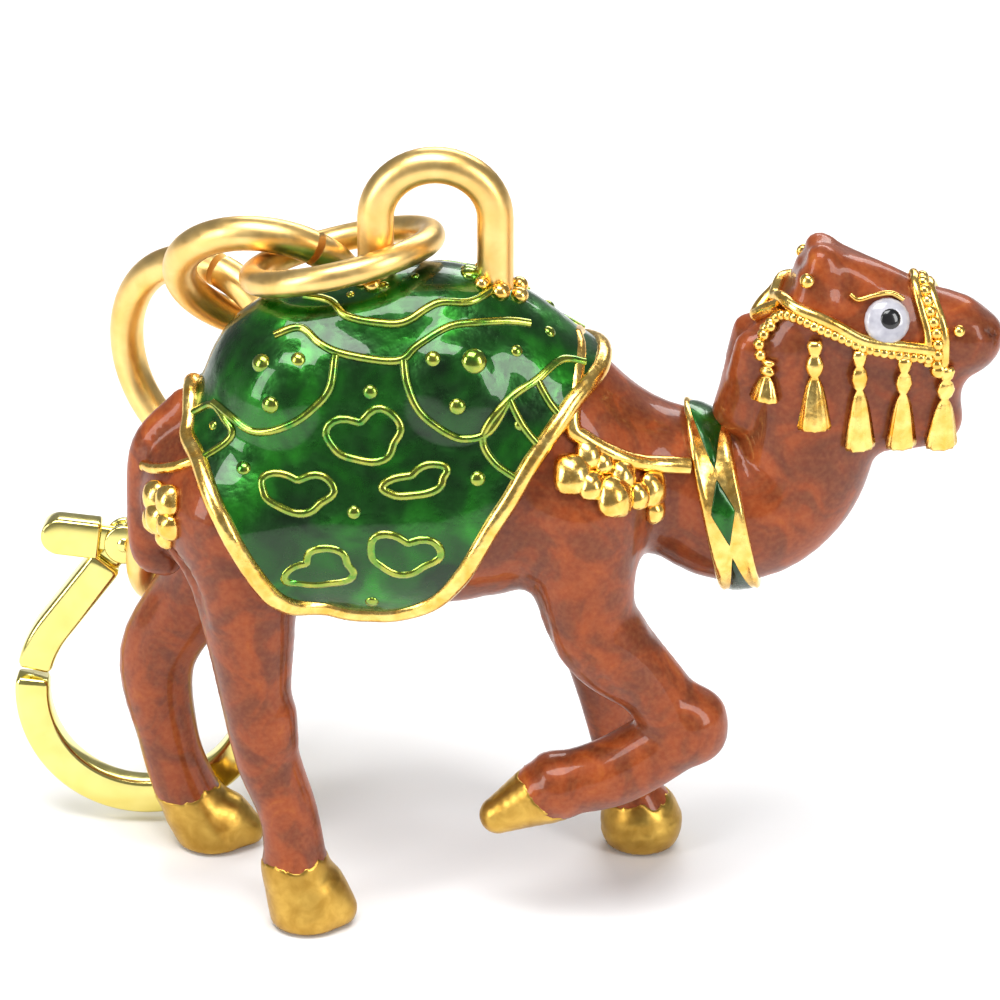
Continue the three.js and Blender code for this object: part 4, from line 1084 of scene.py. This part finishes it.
hook = strip("clasp_loop", hook_path, half, CLASP["thick"], CLASP_GOLD)
dress(hook, stands_for=["clasp_hook"])
gate = strip("clasp_gate_strip", gate_path, half, CLASP["thick"], CLASP_GOLD)
dress(gate, body="gate", stands_for=["clasp_gate"])
tab_way = (TAB - PIVOT) / np.linalg.norm(TAB - PIVOT)
tab_tip = np.linalg.norm(TAB - PIVOT) + TAB_HALF
tab_path = PIVOT + np.linspace(GATE["root"], tab_tip, 40)[:, None] * tab_way
tab = strip("clasp_tab", tab_path, TAB_HALF, CLASP["thick"], CLASP_GOLD, round_end=TAB_HALF)
dress(tab, body="gate")
for name, end in (("clasp_tongue_tab", PIVOT + TONGUE_REACH * tab_way), ("clasp_tongue_gate", gate_path[2])):
    tongue = strip(name, np.linspace(PIVOT, end, 12), TONGUE_HALF, TONGUE_THICK, CLASP_GOLD)
    dress(tongue, body="gate")
dress(disc("clasp_knuckle", KNUCKLE_RADIUS, TONGUE_THICK, CLASP_GOLD), body="gate")
for name, at in (("clasp_cheek_near", CHEEK_AT), ("clasp_cheek_far", -CHEEK_AT)):
    dress(disc(name, CHEEK_RADIUS, CHEEK_THICK, CLASP_GOLD, at=at))
dress(disc("clasp_pin", PIN_RADIUS, CLASP["thick"] + PIN_HEAD, CLASP_GOLD, bevel=0.2))

# %% [markdown]
# ## Studio
# A pale floor, four softboxes and a dim grey room. The metal shows what it reflects, so the room is
# kept darker than the floor and the softboxes bright and large.

# %% Floor, lights and camera
FLOOR_SIZE, FLOOR_DROP = 1.6, 0.0002
ROOM_GREY, ROOM_STRENGTH = "#B9BCC0", 0.5
LOOK_HEIGHT = 24.3 * MM
floor_material, floor_tree, floor_place = new_material("pale studio floor")
floor_grain = noise(floor_tree, floor_place, 40)
surface(floor_tree, ramp(floor_tree, floor_grain, [(0.3, "#F3F3F3"), (0.7, "#F6F6F6")]), 0.6, 0.0)
bpy.ops.mesh.primitive_plane_add(size=FLOOR_SIZE, location=(0, 0, -FLOOR_DROP))
floor = bpy.context.object
floor.name = "floor"
floor.data.materials.append(floor_material)

world = bpy.data.worlds.new("studio")
bpy.context.scene.world = world
world.use_nodes = True
background = world.node_tree.nodes["Background"].inputs
background["Color"].default_value = linear(ROOM_GREY)
background["Strength"].default_value = ROOM_STRENGTH

LOOK_AT = Vector((CAMEL_PLACE[0] * MM, CAMEL_PLACE[1] * MM, LOOK_HEIGHT))


def softbox(name, place, size, power):
    light = bpy.data.lights.new(name, "AREA")
    light.shape, light.size, light.size_y, light.energy = "RECTANGLE", size[0], size[1], power
    made = bpy.data.objects.new(name, light)
    made.location = place
    made.rotation_euler = (LOOK_AT - Vector(place)).to_track_quat("-Z", "Y").to_euler()
    bpy.context.scene.collection.objects.link(made)


softbox("softbox_above", (-0.05, -0.12, 0.45), (0.35, 0.22), 2.2)
softbox("softbox_left", (-0.38, -0.22, 0.2), (0.16, 0.3), 1.1)
softbox("softbox_right", (0.36, -0.28, 0.22), (0.14, 0.3), 1.1)
softbox("softbox_back", (0.1, 0.4, 0.3), (0.4, 0.15), 1.2)

CAMERA_RISE = math.radians(26)
CAMERA_FAR = 300 * MM
FRAME_WIDTH = 1000 / 18 * MM          # 18 pixels of the photograph to the millimetre at the camel
camera_data = bpy.data.cameras.new("camera")
camera_data.sensor_width = 36
camera_data.lens = 36 * CAMERA_FAR / FRAME_WIDTH
camera_data.clip_start, camera_data.clip_end = 0.01, 10
camera = bpy.data.objects.new("camera", camera_data)
camera.location = LOOK_AT + CAMERA_FAR * Vector((0, -math.cos(CAMERA_RISE), math.sin(CAMERA_RISE)))
camera.rotation_euler = (LOOK_AT - camera.location).to_track_quat("-Z", "Y").to_euler()
bpy.context.scene.collection.objects.link(camera)
bpy.context.scene.camera = camera
bpy.context.scene.view_settings.view_transform = "Standard"

# %% Removing the ornament shapes, and the end
for shape in (ROUND, NUGGET, TASSEL):
    bpy.data.objects.remove(shape)
bpy.context.view_layer.update()
